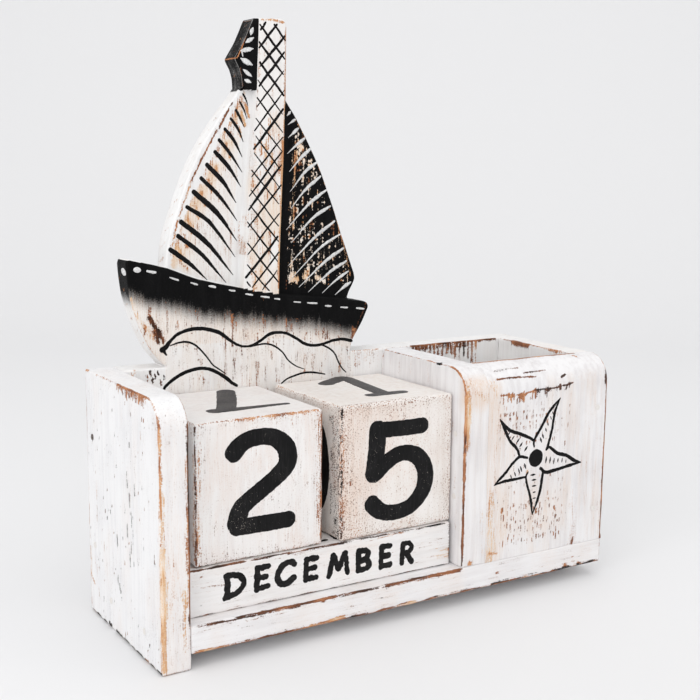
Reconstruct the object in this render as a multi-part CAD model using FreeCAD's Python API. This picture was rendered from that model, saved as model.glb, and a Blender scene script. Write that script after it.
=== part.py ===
import FreeCAD, Part
import math
import os

from FreeCAD import Vector

os.makedirs("parts", exist_ok=True)

# ---------------------------------------------------------------------------
# Wooden perpetual desk calendar with an open pen cup and a sailboat back.
# Millimetres. +X to the right, +Y to the rear, +Z up.
# The drawing coordinates start at the front left bottom corner of the left
# end panel. The model's origin is the middle of the whole object's underside.
# ---------------------------------------------------------------------------

# Case
WIDTH = 175.0            # outside, left end panel to right end panel
DEPTH = 62.5             # outside, front to rear
HEIGHT = 83.0            # floor to the top of the case
NOSE_R = 9.5             # round-over at the top front of every upright panel
EASE = 0.8               # small round on the exposed straight edges

LEFT_T = 9.5             # left end panel
RIGHT_T = 9.0            # right end panel
BACK_T = 10.5            # back board and sailboat, one plank
BASE_LOW = 4.8           # underside of the base board above the floor
BASE_TOP = 13.7          # top of the base board
DIV_LEFT = 110.2         # left face of the divider
DIV_T = 10.0             # divider
CUP_FRONT_T = 11.0       # front panel of the pen cup

# Calendar pieces
CUBE = 45.0
CUBE_EASE = 1.2
CUBE_L = (13.8, 6.2, 0.7)     # left cube: front left corner x, y, turn in degrees
CUBE_R = (64.9, 5.9, 0.9)     # right cube
BAR = 15.3               # square section of a month bar
BAR_LEN = 99.2
BAR_EASE = 0.7
BAR_LEFT = 10.0          # left end of every bar
BAR_FRONT = 5.6          # front face of the front bar
BAR_GAP = 0.12           # between neighbouring bars

# Brads (headed finishing nails)
BRAD_R = 0.6
BRAD_LEN = 22.0
BRAD_HEAD_R = 1.0
BRAD_HEAD_T = 0.8

BACK_FACE = DEPTH - BACK_T    # front face of the back board
SHIFT = Vector(-WIDTH / 2, -DEPTH / 2, 0)


def box(x0, x1, y0, y1, z0, z1):
    return Part.makeBox(x1 - x0, y1 - y0, z1 - z0, Vector(x0, y0, z0))


def edges_where(shape, test):
    found = []
    for e in shape.Edges:
        a, b = e.Vertexes[0].Point, e.Vertexes[-1].Point
        if test(a, b, e):
            found.append(e)
    return found


def near(a, b, tol=1e-4):
    return abs(a - b) < tol


def upright(x0, x1, y0, y1, z0, z1, nose=NOSE_R):
    """A vertical panel whose top front corner is rounded, seen along X."""
    k = nose * (1 - math.sqrt(0.5))
    pts = [Vector(x0, y0, z0), Vector(x0, y1, z0), Vector(x0, y1, z1), Vector(x0, y0 + nose, z1), Vector(x0, y0, z1 - nose)]
    mid = Vector(x0, y0 + k, z1 - k)
    edges = [
        Part.LineSegment(pts[0], pts[1]).toShape(),
        Part.LineSegment(pts[1], pts[2]).toShape(),
        Part.LineSegment(pts[2], pts[3]).toShape(),
        Part.Arc(pts[3], mid, pts[4]).toShape(),
        Part.LineSegment(pts[4], pts[0]).toShape(),
    ]
    face = Part.Face(Part.Wire(edges))
    return face.extrude(Vector(x1 - x0, 0, 0))


def brad(tip_from, direction):
    """A brad whose head is flush at tip_from and which is driven along direction."""
    d = Vector(*direction)
    d.normalize()
    p = Vector(*tip_from)
    shank = Part.makeCylinder(BRAD_R, BRAD_LEN, p, d)
    head = Part.makeCylinder(BRAD_HEAD_R, BRAD_HEAD_T, p, d)
    return shank.fuse(head).removeSplitter()


def wedge(points, depth_at):
    """A prism in front of the plank whose floor is the sloping carved plane."""
    front = [Vector(x, BACK_FACE - 5.0, z) for x, z in points]
    floor = [Vector(x, BACK_FACE + depth_at(x, z), z) for x, z in points]
    n = len(points)
    faces = [Part.Face(Part.makePolygon(front + [front[0]])), Part.Face(Part.makePolygon(floor + [floor[0]]))]
    for i in range(n):
        j = (i + 1) % n
        faces.append(Part.Face(Part.makePolygon([front[i], front[j], floor[j], floor[i], front[i]])))
    solid = Part.makeSolid(Part.makeShell(faces))
    if solid.Volume < 0:
        solid.reverse()
    return solid


def plane_depth(a, b, c):
    """Depth of carving as a plane through three (x, z, depth) points."""
    ux, uz, ud = b[0] - a[0], b[1] - a[1], b[2] - a[2]
    vx, vz, vd = c[0] - a[0], c[1] - a[1], c[2] - a[2]
    det = ux * vz - uz * vx
    gx = (ud * vz - uz * vd) / det
    gz = (ux * vd - ud * vx) / det
    return lambda x, z: a[2] + gx * (x - a[0]) + gz * (z - a[1])


# ---------------------------------------------------------------------------
# Back board with the sailboat, cut from one plank (outline in X, Z)
# ---------------------------------------------------------------------------
def spline(points):
    c = Part.BSplineCurve()
    c.interpolate([Vector(x, BACK_FACE, z) for x, z in points])
    return c.toShape()


def line(a, b):
    return Part.LineSegment(Vector(a[0], BACK_FACE, a[1]), Vector(b[0], BACK_FACE, b[1])).toShape()


STEM_FOOT = (24.6, HEIGHT)
HULL_RIGHT_FOOT = (96.4, HEIGHT)
CASE_INNER_RIGHT = WIDTH - RIGHT_T

outline = []
outline.append(line((LEFT_T, BASE_LOW), (CASE_INNER_RIGHT, BASE_LOW)))
outline.append(line((CASE_INNER_RIGHT, BASE_LOW), (CASE_INNER_RIGHT, HEIGHT)))
outline.append(line((CASE_INNER_RIGHT, HEIGHT), HULL_RIGHT_FOOT))
# stern
outline.append(spline([HULL_RIGHT_FOOT, (97.4, 86.8), (99.7, 90.6), (101.9, 94.2), (103.5, 97.4)]))
outline.append(spline([(103.5, 97.4), (104.1, 99.0), (103.5, 100.4), (102.0, 101.1)]))
outline.append(line((102.0, 101.1), (95.7, 102.1)))
# right sail
outline.append(spline([(95.7, 102.1), (96.6, 104.8), (97.9, 107.1)]))
outline.append(spline([(97.9, 107.1), (98.85, 109.4), (98.6, 111.6)]))
outline.append(
    spline([(98.6, 111.6), (96.9, 116.0), (95.2, 120.6), (93.4, 125.2), (91.3, 130.8), (89.2, 136.5), (87.0, 142.0), (84.7, 147.7), (82.4, 152.4), (80.2, 156.6), (78.0, 160.6), (74.6, 166.6), (72.2, 170.0), (69.75, 173.6)])
)
# mast
outline.append(line((69.75, 173.6), (70.0, 196.6)))
outline.append(spline([(70.0, 196.6), (69.4, 198.2), (67.6, 198.8)]))
outline.append(line((67.6, 198.8), (57.7, 198.2)))
# pennant
outline.append(spline([(57.7, 198.2), (55.8, 194.0), (54.2, 190.6), (52.4, 187.6), (50.8, 184.9)]))
outline.append(line((50.8, 184.9), (52.6, 181.6)))
outline.append(spline([(52.6, 181.6), (53.4, 178.8), (53.7, 175.6)]))
# left sail
outline.append(line((53.7, 175.6), (51.4, 172.4)))
outline.append(
    spline([(51.4, 172.4), (47.8, 168.3), (45.5, 165.3), (43.0, 161.9), (40.4, 158.1), (38.2, 154.6), (36.3, 151.2), (34.5, 147.5), (33.0, 143.8), (31.5, 139.9), (30.0, 135.8), (28.6, 131.8), (27.4, 128.3), (26.5, 124.9), (25.8, 121.0), (25.4, 116.1)])
)
# bow
outline.append(spline([(25.4, 116.1), (19.3, 117.6), (12.4, 119.3)]))
outline.append(spline([(12.4, 119.3), (11.4, 118.9), (11.1, 117.6)]))
outline.append(
    spline([(11.1, 117.6), (11.3, 114.5), (11.8, 110.4), (12.5, 106.2), (13.4, 102.8), (14.4, 99.6), (15.7, 96.2), (17.1, 93.1), (18.5, 90.4), (20.2, 87.7), (22.3, 85.2), STEM_FOOT])
)
outline.append(line(STEM_FOOT, (LEFT_T, HEIGHT)))
outline.append(line((LEFT_T, HEIGHT), (LEFT_T, BASE_LOW)))

plank_wire = Part.Wire(Part.__sortEdges__(outline))
back = Part.Face(plank_wire).extrude(Vector(0, BACK_T, 0))

# Carved sails: each is cut back from the mast and the hull by a sloping plane.
left_sail = [(25.4, 116.05), (33.4, 113.0), (37.0, 111.8), (44.3, 110.0), (53.0, 108.1), (53.8, 123.0), (55.1, 141.5), (56.2, 155.0), (58.2, 171.5), (58.4, 175.0), (56.0, 174.9), (53.7, 175.6), (50.0, 178.0), (30.0, 152.0), (14.0, 121.5)]
right_sail = [(67.0, 105.3), (75.4, 104.3), (95.7, 102.1), (104.0, 104.0), (104.0, 120.0), (86.0, 160.0), (76.0, 176.0), (69.8, 176.0), (69.3, 168.6), (68.9, 155.1), (68.1, 138.1), (67.4, 120.9)]
back = back.cut(wedge(left_sail, plane_depth((25.5, 117.0, 1.4), (56.0, 175.0, 2.6), (53.0, 110.0, 4.0))))
back = back.cut(wedge(right_sail, plane_depth((98.5, 110.0, 1.2), (69.5, 172.0, 2.2), (67.0, 106.0, 3.2))))

# ---------------------------------------------------------------------------
# Case boards
# ---------------------------------------------------------------------------
left_panel = upright(0, LEFT_T, 0, DEPTH, 0, HEIGHT)
left_panel = left_panel.makeFillet(
    EASE,
    edges_where(left_panel, lambda a, b, e: near(a.x, 0) and near(b.x, 0)),
)

base = box(LEFT_T, WIDTH, 0, CUP_FRONT_T, BASE_LOW, BASE_TOP).fuse(box(LEFT_T, CASE_INNER_RIGHT, 0, BACK_FACE, BASE_LOW, BASE_TOP)).removeSplitter()
base = base.makeFillet(
    EASE,
    edges_where(
        base,
        lambda a, b, e: (near(a.y, 0) and near(b.y, 0) and near(a.z, b.z) and near(a.z, BASE_LOW))
        or (near(a.x, WIDTH) and near(b.x, WIDTH) and near(a.z, BASE_LOW) and near(b.z, BASE_LOW))
        or (near(a.x, WIDTH) and near(b.x, WIDTH) and near(a.y, 0) and near(b.y, 0)),
    ),
)

divider = upright(DIV_LEFT, DIV_LEFT + DIV_T, 0, BACK_FACE, BASE_TOP, HEIGHT)
divider = divider.makeFillet(
    EASE,
    edges_where(divider, lambda a, b, e: near(a.x, DIV_LEFT) and near(b.x, DIV_LEFT) and not near(a.z, BASE_TOP) or near(a.x, DIV_LEFT) and near(b.x, DIV_LEFT) and near(a.y, 0) and near(b.y, 0)),
)

cup_front = upright(DIV_LEFT + DIV_T, WIDTH, 0, CUP_FRONT_T, BASE_TOP, HEIGHT)
cup_front = cup_front.makeFillet(
    EASE,
    edges_where(cup_front, lambda a, b, e: near(a.x, WIDTH) and near(b.x, WIDTH) and not (near(a.z, BASE_TOP) and near(b.z, BASE_TOP)) and not (near(a.y, CUP_FRONT_T) and near(b.y, CUP_FRONT_T))),
)

right_panel = box(CASE_INNER_RIGHT, WIDTH, CUP_FRONT_T, DEPTH, 0, HEIGHT)
right_panel = right_panel.makeFillet(
    EASE,
    edges_where(
        right_panel,
        lambda a, b, e: near(a.x, WIDTH)
        and near(b.x, WIDTH)
        and ((near(a.z, HEIGHT) and near(b.z, HEIGHT)) or (near(a.y, DEPTH) and near(b.y, DEPTH)) or (near(a.z, 0) and near(b.z, 0))),
    ),
)

# ---------------------------------------------------------------------------
# Date cubes and month bars
# ---------------------------------------------------------------------------
CUBE_FLOOR = BASE_TOP + BAR


def date_cube(place):
    x, y, turn = place
    c = Part.makeBox(CUBE, CUBE, CUBE, Vector(0, 0, 0))
    c = c.makeFillet(CUBE_EASE, c.Edges)
    c.rotate(Vector(0, 0, 0), Vector(0, 0, 1), turn)
    c.translate(Vector(x, y, CUBE_FLOOR))
    return c


def month_bar(index):
    y = BAR_FRONT + index * (BAR + BAR_GAP)
    b = box(BAR_LEFT, BAR_LEFT + BAR_LEN, y, y + BAR, BASE_TOP, BASE_TOP + BAR)
    return b.makeFillet(BAR_EASE, b.Edges)


# ---------------------------------------------------------------------------
# Brads
# ---------------------------------------------------------------------------
MID_BASE = (BASE_LOW + BASE_TOP) / 2
MID_BACK = BACK_FACE + BACK_T / 2
MID_DIV = DIV_LEFT + DIV_T / 2

brads = {
    "left_panel_brads": [
        brad((0, MID_BACK, 61.0), (1, 0, 0)),
        brad((0, MID_BACK, 24.0), (1, 0, 0)),
        brad((0, 14.0, MID_BASE), (1, 0, 0)),
        brad((0, 43.0, MID_BASE), (1, 0, 0)),
    ],
    "right_panel_brads": [
        brad((WIDTH, MID_BACK, 61.0), (-1, 0, 0)),
        brad((WIDTH, MID_BACK, 24.0), (-1, 0, 0)),
        brad((WIDTH, 20.0, MID_BASE), (-1, 0, 0)),
        brad((WIDTH, 43.0, MID_BASE), (-1, 0, 0)),
    ],
    "back_board_brads": [
        brad((MID_DIV, DEPTH, 68.0), (0, -1, 0)),
        brad((MID_DIV, DEPTH, 30.0), (0, -1, 0)),
        brad((30.0, DEPTH, MID_BASE), (0, -1, 0)),
        brad((85.0, DEPTH, MID_BASE), (0, -1, 0)),
        brad((140.0, DEPTH, MID_BASE), (0, -1, 0)),
    ],
    "divider_brads": [
        brad((DIV_LEFT, 5.6, 60.0), (1, 0, 0)),
        brad((DIV_LEFT, 5.6, 38.0), (1, 0, 0)),
    ],
    "cup_front_brads": [
        brad((WIDTH - RIGHT_T / 2, 0, 64.0), (0, 1, 0)),
        brad((WIDTH - RIGHT_T / 2, 0, 26.0), (0, 1, 0)),
    ],
    "base_brads": [
        brad((MID_DIV, 16.0, BASE_LOW), (0, 0, 1)),
        brad((MID_DIV, 38.0, BASE_LOW), (0, 0, 1)),
        brad((134.0, 5.5, BASE_LOW), (0, 0, 1)),
        brad((158.0, 5.5, BASE_LOW), (0, 0, 1)),
    ],
}
every_brad = [b for group in brads.values() for b in group]

boards = {
    "left_end_panel": left_panel,
    "base_board": base,
    "back_board_sailboat": back,
    "divider_panel": divider,
    "cup_front_panel": cup_front,
    "right_end_panel": right_panel,
}
for name, board in boards.items():
    hit = [b for b in every_brad if b.BoundBox.intersect(board.BoundBox)]
    if hit:
        board = board.cut(Part.makeCompound(hit))
    solids = board.Solids
    boards[name] = max(solids, key=lambda s: s.Volume)

pieces = dict(boards)
pieces["date_cube_left"] = date_cube(CUBE_L)
pieces["date_cube_right"] = date_cube(CUBE_R)
pieces["month_bar_front"] = month_bar(0)
pieces["month_bar_middle"] = month_bar(1)
pieces["month_bar_rear"] = month_bar(2)
for name, group in brads.items():
    pieces[name] = Part.makeCompound(group)

for name, shape in pieces.items():
    shape.translate(SHIFT)
    shape.exportStep("parts/%s.step" % name)
    b = shape.BoundBox
    print("%-22s solids %d valid %s volume %9.1f  x %.2f..%.2f  y %.2f..%.2f  z %.2f..%.2f" % (name, len(shape.Solids), shape.isValid(), shape.Volume, b.XMin, b.XMax, b.YMin, b.YMax, b.ZMin, b.ZMax))
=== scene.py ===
import math
import bpy
import numpy as np
from mathutils import Matrix, Vector
from mathutils.geometry import delaunay_2d_cdt
from mathutils.kdtree import KDTree


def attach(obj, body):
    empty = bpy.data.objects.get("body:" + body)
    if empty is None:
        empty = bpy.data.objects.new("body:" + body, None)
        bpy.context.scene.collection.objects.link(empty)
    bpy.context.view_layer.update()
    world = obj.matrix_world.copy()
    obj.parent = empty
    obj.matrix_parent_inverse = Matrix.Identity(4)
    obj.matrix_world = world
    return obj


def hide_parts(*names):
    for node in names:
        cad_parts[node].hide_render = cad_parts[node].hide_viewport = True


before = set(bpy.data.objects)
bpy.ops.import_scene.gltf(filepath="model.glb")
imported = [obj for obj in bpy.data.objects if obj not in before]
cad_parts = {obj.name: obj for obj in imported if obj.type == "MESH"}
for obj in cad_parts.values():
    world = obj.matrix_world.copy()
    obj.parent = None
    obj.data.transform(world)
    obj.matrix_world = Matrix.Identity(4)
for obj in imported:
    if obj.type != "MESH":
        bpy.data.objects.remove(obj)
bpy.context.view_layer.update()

scene = bpy.context.scene

# Everything below is drawn in millimetres from the front-left-bottom corner of the case (x right, y rear, z up) and goes to the row frame, in metres, when a mesh is made.
OX, OY = 87.5, 31.25
WIDTH, DEPTH, HEIGHT = 175.0, 62.5, 83.0
BACK = 52.0


# ---------------------------------------------------------------- numbers
def arr(a):
    return np.asarray(a, dtype=float)


def smooth(a, b, x):
    t = np.clip((x - a) / (b - a), 0.0, 1.0)
    return t * t * (3 - 2 * t)


def noise(P, size, seed=0):
    """Smooth value noise in 0..1; size in mm, one number or three."""
    q = arr(P) / arr(size)
    i = np.floor(q).astype(np.int64)
    f = q - i
    f = f * f * (3 - 2 * f)

    def h(dx, dy, dz):
        n = ((i[:, 0] + dx) * 73856093) ^ ((i[:, 1] + dy) * 19349663) ^ ((i[:, 2] + dz) * 83492791) ^ (seed * 2654435761 + 97)
        n = n & 0xFFFFFFFF
        n = ((n ^ (n >> 15)) * 2246822519) & 0xFFFFFFFF
        n = ((n ^ (n >> 13)) * 3266489917) & 0xFFFFFFFF
        n = n ^ (n >> 16)
        return (n & 0xFFFF) / 65535.0

    x, y, z = f[:, 0], f[:, 1], f[:, 2]
    c00 = h(0, 0, 0) * (1 - x) + h(1, 0, 0) * x
    c10 = h(0, 1, 0) * (1 - x) + h(1, 1, 0) * x
    c01 = h(0, 0, 1) * (1 - x) + h(1, 0, 1) * x
    c11 = h(0, 1, 1) * (1 - x) + h(1, 1, 1) * x
    return (c00 * (1 - y) + c10 * y) * (1 - z) + (c01 * (1 - y) + c11 * y) * z


def fbm(P, size, seed=0):
    return 0.55 * noise(P, size, seed) + 0.3 * noise(P, arr(size) / 2.1, seed + 11) + 0.15 * noise(P, arr(size) / 4.3, seed + 23)


def wobble(P, big=0.11, small=0.05, seed=5):
    """The small unevenness of sawn, sanded and hand-painted boards. All the boards of the case share it, so they stay in contact."""
    P = arr(P)
    out = np.zeros_like(P)
    for k in range(3):
        out[:, k] = (noise(P, 15.0, seed + k) - 0.5) * 2 * big + (noise(P, 3.6, seed + 40 + k) - 0.5) * 2 * small
    return out


def spline(points, step=0.7, closed=False):
    """Catmull-Rom through the points, at about that step."""
    p = arr(points)
    if len(p) < 3:
        n = max(2, int(np.linalg.norm(p[-1] - p[0]) / step) + 1)
        t = np.linspace(0, 1, n)[:, None]
        return p[0] * (1 - t) + p[-1] * t
    if closed:
        q = np.vstack([p[-1], p, p[0], p[1]])
    else:
        q = np.vstack([2 * p[0] - p[1], p, 2 * p[-1] - p[-2]])
    out = []
    for a, b, c, d in zip(q[:-3], q[1:-2], q[2:-1], q[3:]):
        n = max(1, int(np.ceil(np.linalg.norm((c - b)[:3]) / step)))
        t = (np.arange(n) / n)[:, None]
        out.append(0.5 * ((2 * b) + (c - a) * t + (2 * a - 5 * b + 4 * c - d) * t**2 + (3 * b - a - 3 * c + d) * t**3))
    out = np.vstack(out)
    return out if closed else np.vstack([out, q[-2]])


def to_line(P, line):
    """Distance from each point to a polyline, and how far along it, 0..1."""
    P, line = arr(P), arr(line)
    best = np.full(len(P), 1e9)
    at = np.zeros(len(P))
    if len(line) == 1:
        return np.linalg.norm(P - line[0], axis=1), at
    seg = np.linalg.norm(np.diff(line, axis=0), axis=1)
    cum = np.concatenate([[0], np.cumsum(seg)])
    for k, (a, b) in enumerate(zip(line[:-1], line[1:])):
        ab = b - a
        t = np.clip(((P - a) @ ab) / max(1e-12, float(ab @ ab)), 0, 1)
        d = np.linalg.norm(P - (a + t[:, None] * ab), axis=1)
        m = d < best
        best[m] = d[m]
        at[m] = (cum[k] + t[m] * seg[k]) / max(1e-9, cum[-1])
    return best, at


def inside(poly, x, z):
    poly = arr(poly)
    r = np.zeros(len(x), bool)
    j = len(poly) - 1
    for i in range(len(poly)):
        xi, zi = poly[i]
        xj, zj = poly[j]
        if zi != zj:
            r ^= ((zi > z) != (zj > z)) & (x < (xj - xi) * (z - zi) / (zj - zi) + xi)
        j = i
    return r


# ---------------------------------------------------------------- meshes
SCENE_OBJECTS = {}


def make(name, V, F, body, material, attrs=None, replaces=(), flat=False):
    """A piece from points in mm. F is a list or array of faces; attrs are numbers per point."""
    me = bpy.data.meshes.new(name)
    P = arr(V).copy()
    P[:, 2] = np.maximum(P[:, 2], 0.0)
    P = (P - np.array([OX, OY, 0.0])) / 1000.0
    if isinstance(F, np.ndarray):
        F = F.tolist()
    me.from_pydata(P.tolist(), [], F)
    me.validate()
    me.update()
    me.polygons.foreach_set("use_smooth", np.full(len(me.polygons), not flat, dtype=bool))
    for key, values in (attrs or {}).items():
        a = me.attributes.new(key, "FLOAT", "POINT")
        a.data.foreach_set("value", arr(values).astype(np.float32))
    me.materials.append(material)
    ob = bpy.data.objects.new(name, me)
    scene.collection.objects.link(ob)
    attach(ob, body)
    if replaces:
        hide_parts(*replaces)
    SCENE_OBJECTS[name] = ob
    return ob


def lines(a, b, step, fine=(0.0, 0.25, 0.5, 0.8, 1.2)):
    """Positions from a to b, close together at both ends."""
    f = arr(fine)
    n = max(2, int(round((b - a - 2 * f[-1]) / step)))
    mid = np.linspace(a + f[-1], b - f[-1], n + 1)[1:-1]
    return np.concatenate([a + f, mid, (b - f)[::-1]])


def shell(X, Y, Z):
    """The surface of a box as a lattice of points and outward quads."""
    nx, ny, nz = len(X), len(Y), len(Z)
    on = np.zeros((nx, ny, nz), bool)
    on[[0, -1]] = True
    on[:, [0, -1]] = True
    on[:, :, [0, -1]] = True
    idx = -np.ones((nx, ny, nz), int)
    idx[on] = np.arange(int(on.sum()))
    gx, gy, gz = np.meshgrid(X, Y, Z, indexing="ij")
    V = np.stack([gx[on], gy[on], gz[on]], 1)
    Q = []

    def side(a, flip):
        q = np.stack([a[:-1, :-1], a[1:, :-1], a[1:, 1:], a[:-1, 1:]], -1).reshape(-1, 4)
        Q.append(q[:, ::-1] if flip else q)

    side(idx[0], True)
    side(idx[-1], False)
    side(idx[:, 0], False)
    side(idx[:, -1], True)
    side(idx[:, :, 0], True)
    side(idx[:, :, -1], False)
    return V, np.concatenate(Q)


def ease(V, lo, hi, r0, nose=0.0, seed=3, vary=0.5, tight=None):
    """Rounds a box's edges by about r0, and the top-front corner of its y-z section by nose."""
    P = arr(V).copy()
    r = r0 * (1 - vary / 2 + vary * noise(P, 7.0, seed))
    if tight is not None:
        r = r * tight(P)
    y0, z0, y1, z1 = lo[1], lo[2], hi[1], hi[2]
    y, z = P[:, 1].copy(), P[:, 2].copy()
    side = np.stack([y - y0, y1 - y, z - z0, z1 - z], 1)
    depth = side.min(1)
    k = side.argmin(1)
    N = arr([(-1, 0), (1, 0), (0, -1), (0, 1)])[k]
    for sy, sz in ((-1, 1), (1, 1), (-1, -1), (1, -1)):
        R = np.maximum(r, nose) if (sy, sz) == (-1, 1) and nose > 0 else r
        cy = y0 + R if sy < 0 else y1 - R
        cz = z0 + R if sz < 0 else z1 - R
        dy, dz = y - cy, z - cz
        m = (dy * sy > 0) & (dz * sz > 0)
        big = np.maximum(abs(dy), abs(dz))
        hyp = np.maximum(np.hypot(dy, dz), 1e-9)
        P[m, 1] = (cy + dy * big / hyp)[m]
        P[m, 2] = (cz + dz * big / hyp)[m]
        depth[m] = (R - big)[m]
        N[m] = np.stack([dy / hyp, dz / hyp], 1)[m]
    for x0, sx in ((lo[0], -1), (hi[0], 1)):
        ex = r - (P[:, 0] - x0) * -sx
        en = r - depth
        m = (ex > 0) & (en > 0)
        h = np.maximum(np.hypot(ex, en), 1e-9)
        kk = np.where(m, np.maximum(ex, en) / h, 1.0)
        nx = x0 + sx * (ex * kk - r)
        move = en * kk - en
        P[m, 0] = nx[m]
        P[m, 1] += (N[:, 0] * move)[m]
        P[m, 2] += (N[:, 1] * move)[m]
    return P


def wear_from(P, strokes, normal=None):
    """Wear and its tone, from strokes of missing paint: (points, radius, strength, tone, breakup)."""
    wear = np.zeros(len(P))
    tone = np.full(len(P), 0.45)
    for n, s in enumerate(strokes):
        pts, rad, strength, tn = s[:4]
        breakup = s[4] if len(s) > 4 else 0.5
        pts = arr(pts)
        lo, hi = pts.min(0) - rad * 1.7, pts.max(0) + rad * 1.7
        m = ((P >= lo) & (P <= hi)).all(1)
        if not m.any():
            continue
        d, t = to_line(P[m], pts)
        g = noise(P[m], 2.4, 100 + n) * 0.6 + noise(P[m], 0.9, 300 + n) * 0.4
        rr = rad * (1 + breakup * (g - 0.5) * 2)
        fade = 1 - smooth(0.25, 1.0, d / np.maximum(rr, 1e-3))
        fade = fade * strength * (1 - breakup * 0.35 * (1 - noise(P[m], 6.0, 500 + n)) * 1.2)
        w, tt = wear[m], tone[m]
        up = fade > w
        w[up] = fade[up]
        tt[up] = (tn + (noise(P[m], 5.0, 700 + n) - 0.5) * 0.3)[up]
        wear[m], tone[m] = w, tt
    return wear, np.clip(tone, 0, 1)


# ---------------------------------------------------------------- materials
def lin(r, g, b):
    c = arr([r, g, b]) / 255.0
    c = np.where(c <= 0.04045, c / 12.92, ((c + 0.055) / 1.055) ** 2.4)
    return (float(c[0]), float(c[1]), float(c[2]), 1.0)


class Shader:
    def __init__(self, name, specular=0.35, rough=0.6):
        self.mat = bpy.data.materials.new(name)
        self.mat.use_nodes = True
        self.t = self.mat.node_tree
        self.t.nodes.clear()
        self.out = self.node("ShaderNodeOutputMaterial")
        self.bsdf = self.node("ShaderNodeBsdfPrincipled")
        self.bsdf.inputs["Specular IOR Level"].default_value = specular
        self.bsdf.inputs["Roughness"].default_value = rough
        self.t.links.new(self.bsdf.outputs[0], self.out.inputs[0])
        self.coord = self.node("ShaderNodeTexCoord").outputs["Object"]

    def node(self, kind, **props):
        n = self.t.nodes.new(kind)
        for k, v in props.items():
            setattr(n, k, v)
        return n

    def put(self, socket, value):
        if isinstance(value, bpy.types.NodeSocket):
            self.t.links.new(value, socket)
        else:
            socket.default_value = value

    def attr(self, name):
        return self.node("ShaderNodeAttribute", attribute_name=name).outputs["Fac"]

    def math(self, op, a, b=0.0, clamp=False):
        n = self.node("ShaderNodeMath", operation=op, use_clamp=clamp)
        self.put(n.inputs[0], a)
        self.put(n.inputs[1], b)
        return n.outputs[0]

    def add(self, *xs):
        out = xs[0]
        for x in xs[1:]:
            out = self.math("ADD", out, x)
        return out

    def mul(self, a, b):
        return self.math("MULTIPLY", a, b)

    def noise(self, scale, detail=2.0, rough=0.5, offset=0.0, distortion=0.0):
        """fBM noise with a feature size given as cells per metre, one number or three."""
        if isinstance(scale, (int, float)):
            scale = (scale, scale, scale)
        m = self.node("ShaderNodeMapping")
        self.put(m.inputs["Vector"], self.coord)
        m.inputs["Scale"].default_value = scale
        m.inputs["Location"].default_value = (offset, offset * 0.7, offset * 1.3)
        n = self.node("ShaderNodeTexNoise")
        self.put(n.inputs["Vector"], m.outputs[0])
        n.inputs["Scale"].default_value = 1.0
        n.inputs["Detail"].default_value = detail
        n.inputs["Roughness"].default_value = rough
        n.inputs["Distortion"].default_value = distortion
        return n.outputs["Fac"]

    def centred(self, value, gain):
        """(value - 0.5) * gain"""
        return self.mul(self.math("SUBTRACT", value, 0.5), gain)

    def step(self, value, lo, hi, a=0.0, b=1.0):
        n = self.node("ShaderNodeMapRange", interpolation_type="SMOOTHSTEP")
        self.put(n.inputs["Value"], value)
        n.inputs["From Min"].default_value = lo
        n.inputs["From Max"].default_value = hi
        n.inputs["To Min"].default_value = a
        n.inputs["To Max"].default_value = b
        return n.outputs["Result"]

    def ramp(self, value, stops):
        n = self.node("ShaderNodeValToRGB")
        self.put(n.inputs[0], value)
        el = n.color_ramp.elements
        while len(el) < len(stops):
            el.new(0.5)
        for e, (pos, col) in zip(el, stops):
            e.position = pos
            e.color = col
        return n.outputs[0]

    def mix(self, fac, a, b):
        n = self.node("ShaderNodeMix", data_type="RGBA")
        self.put(n.inputs[0], fac)
        self.put(n.inputs[6], a)
        self.put(n.inputs[7], b)
        return n.outputs[2]

    def bump(self, height, distance=0.0001, strength=1.0):
        n = self.node("ShaderNodeBump")
        n.inputs["Strength"].default_value = strength
        n.inputs["Distance"].default_value = distance
        self.put(n.inputs["Height"], height)
        self.t.links.new(n.outputs[0], self.bsdf.inputs["Normal"])

    def colour(self, c):
        self.put(self.bsdf.inputs["Base Color"], c)

    def roughness(self, v):
        self.put(self.bsdf.inputs["Roughness"], v)


WOOD = [
    (0.00, lin(238, 228, 218)),
    (0.08, lin(232, 206, 180)),
    (0.18, lin(222, 184, 144)),
    (0.38, lin(192, 132, 90)),
    (0.58, lin(138, 86, 58)),
    (0.76, lin(84, 54, 41)),
    (0.92, lin(45, 35, 31)),
    (1.00, lin(26, 23, 23)),
]


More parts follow.
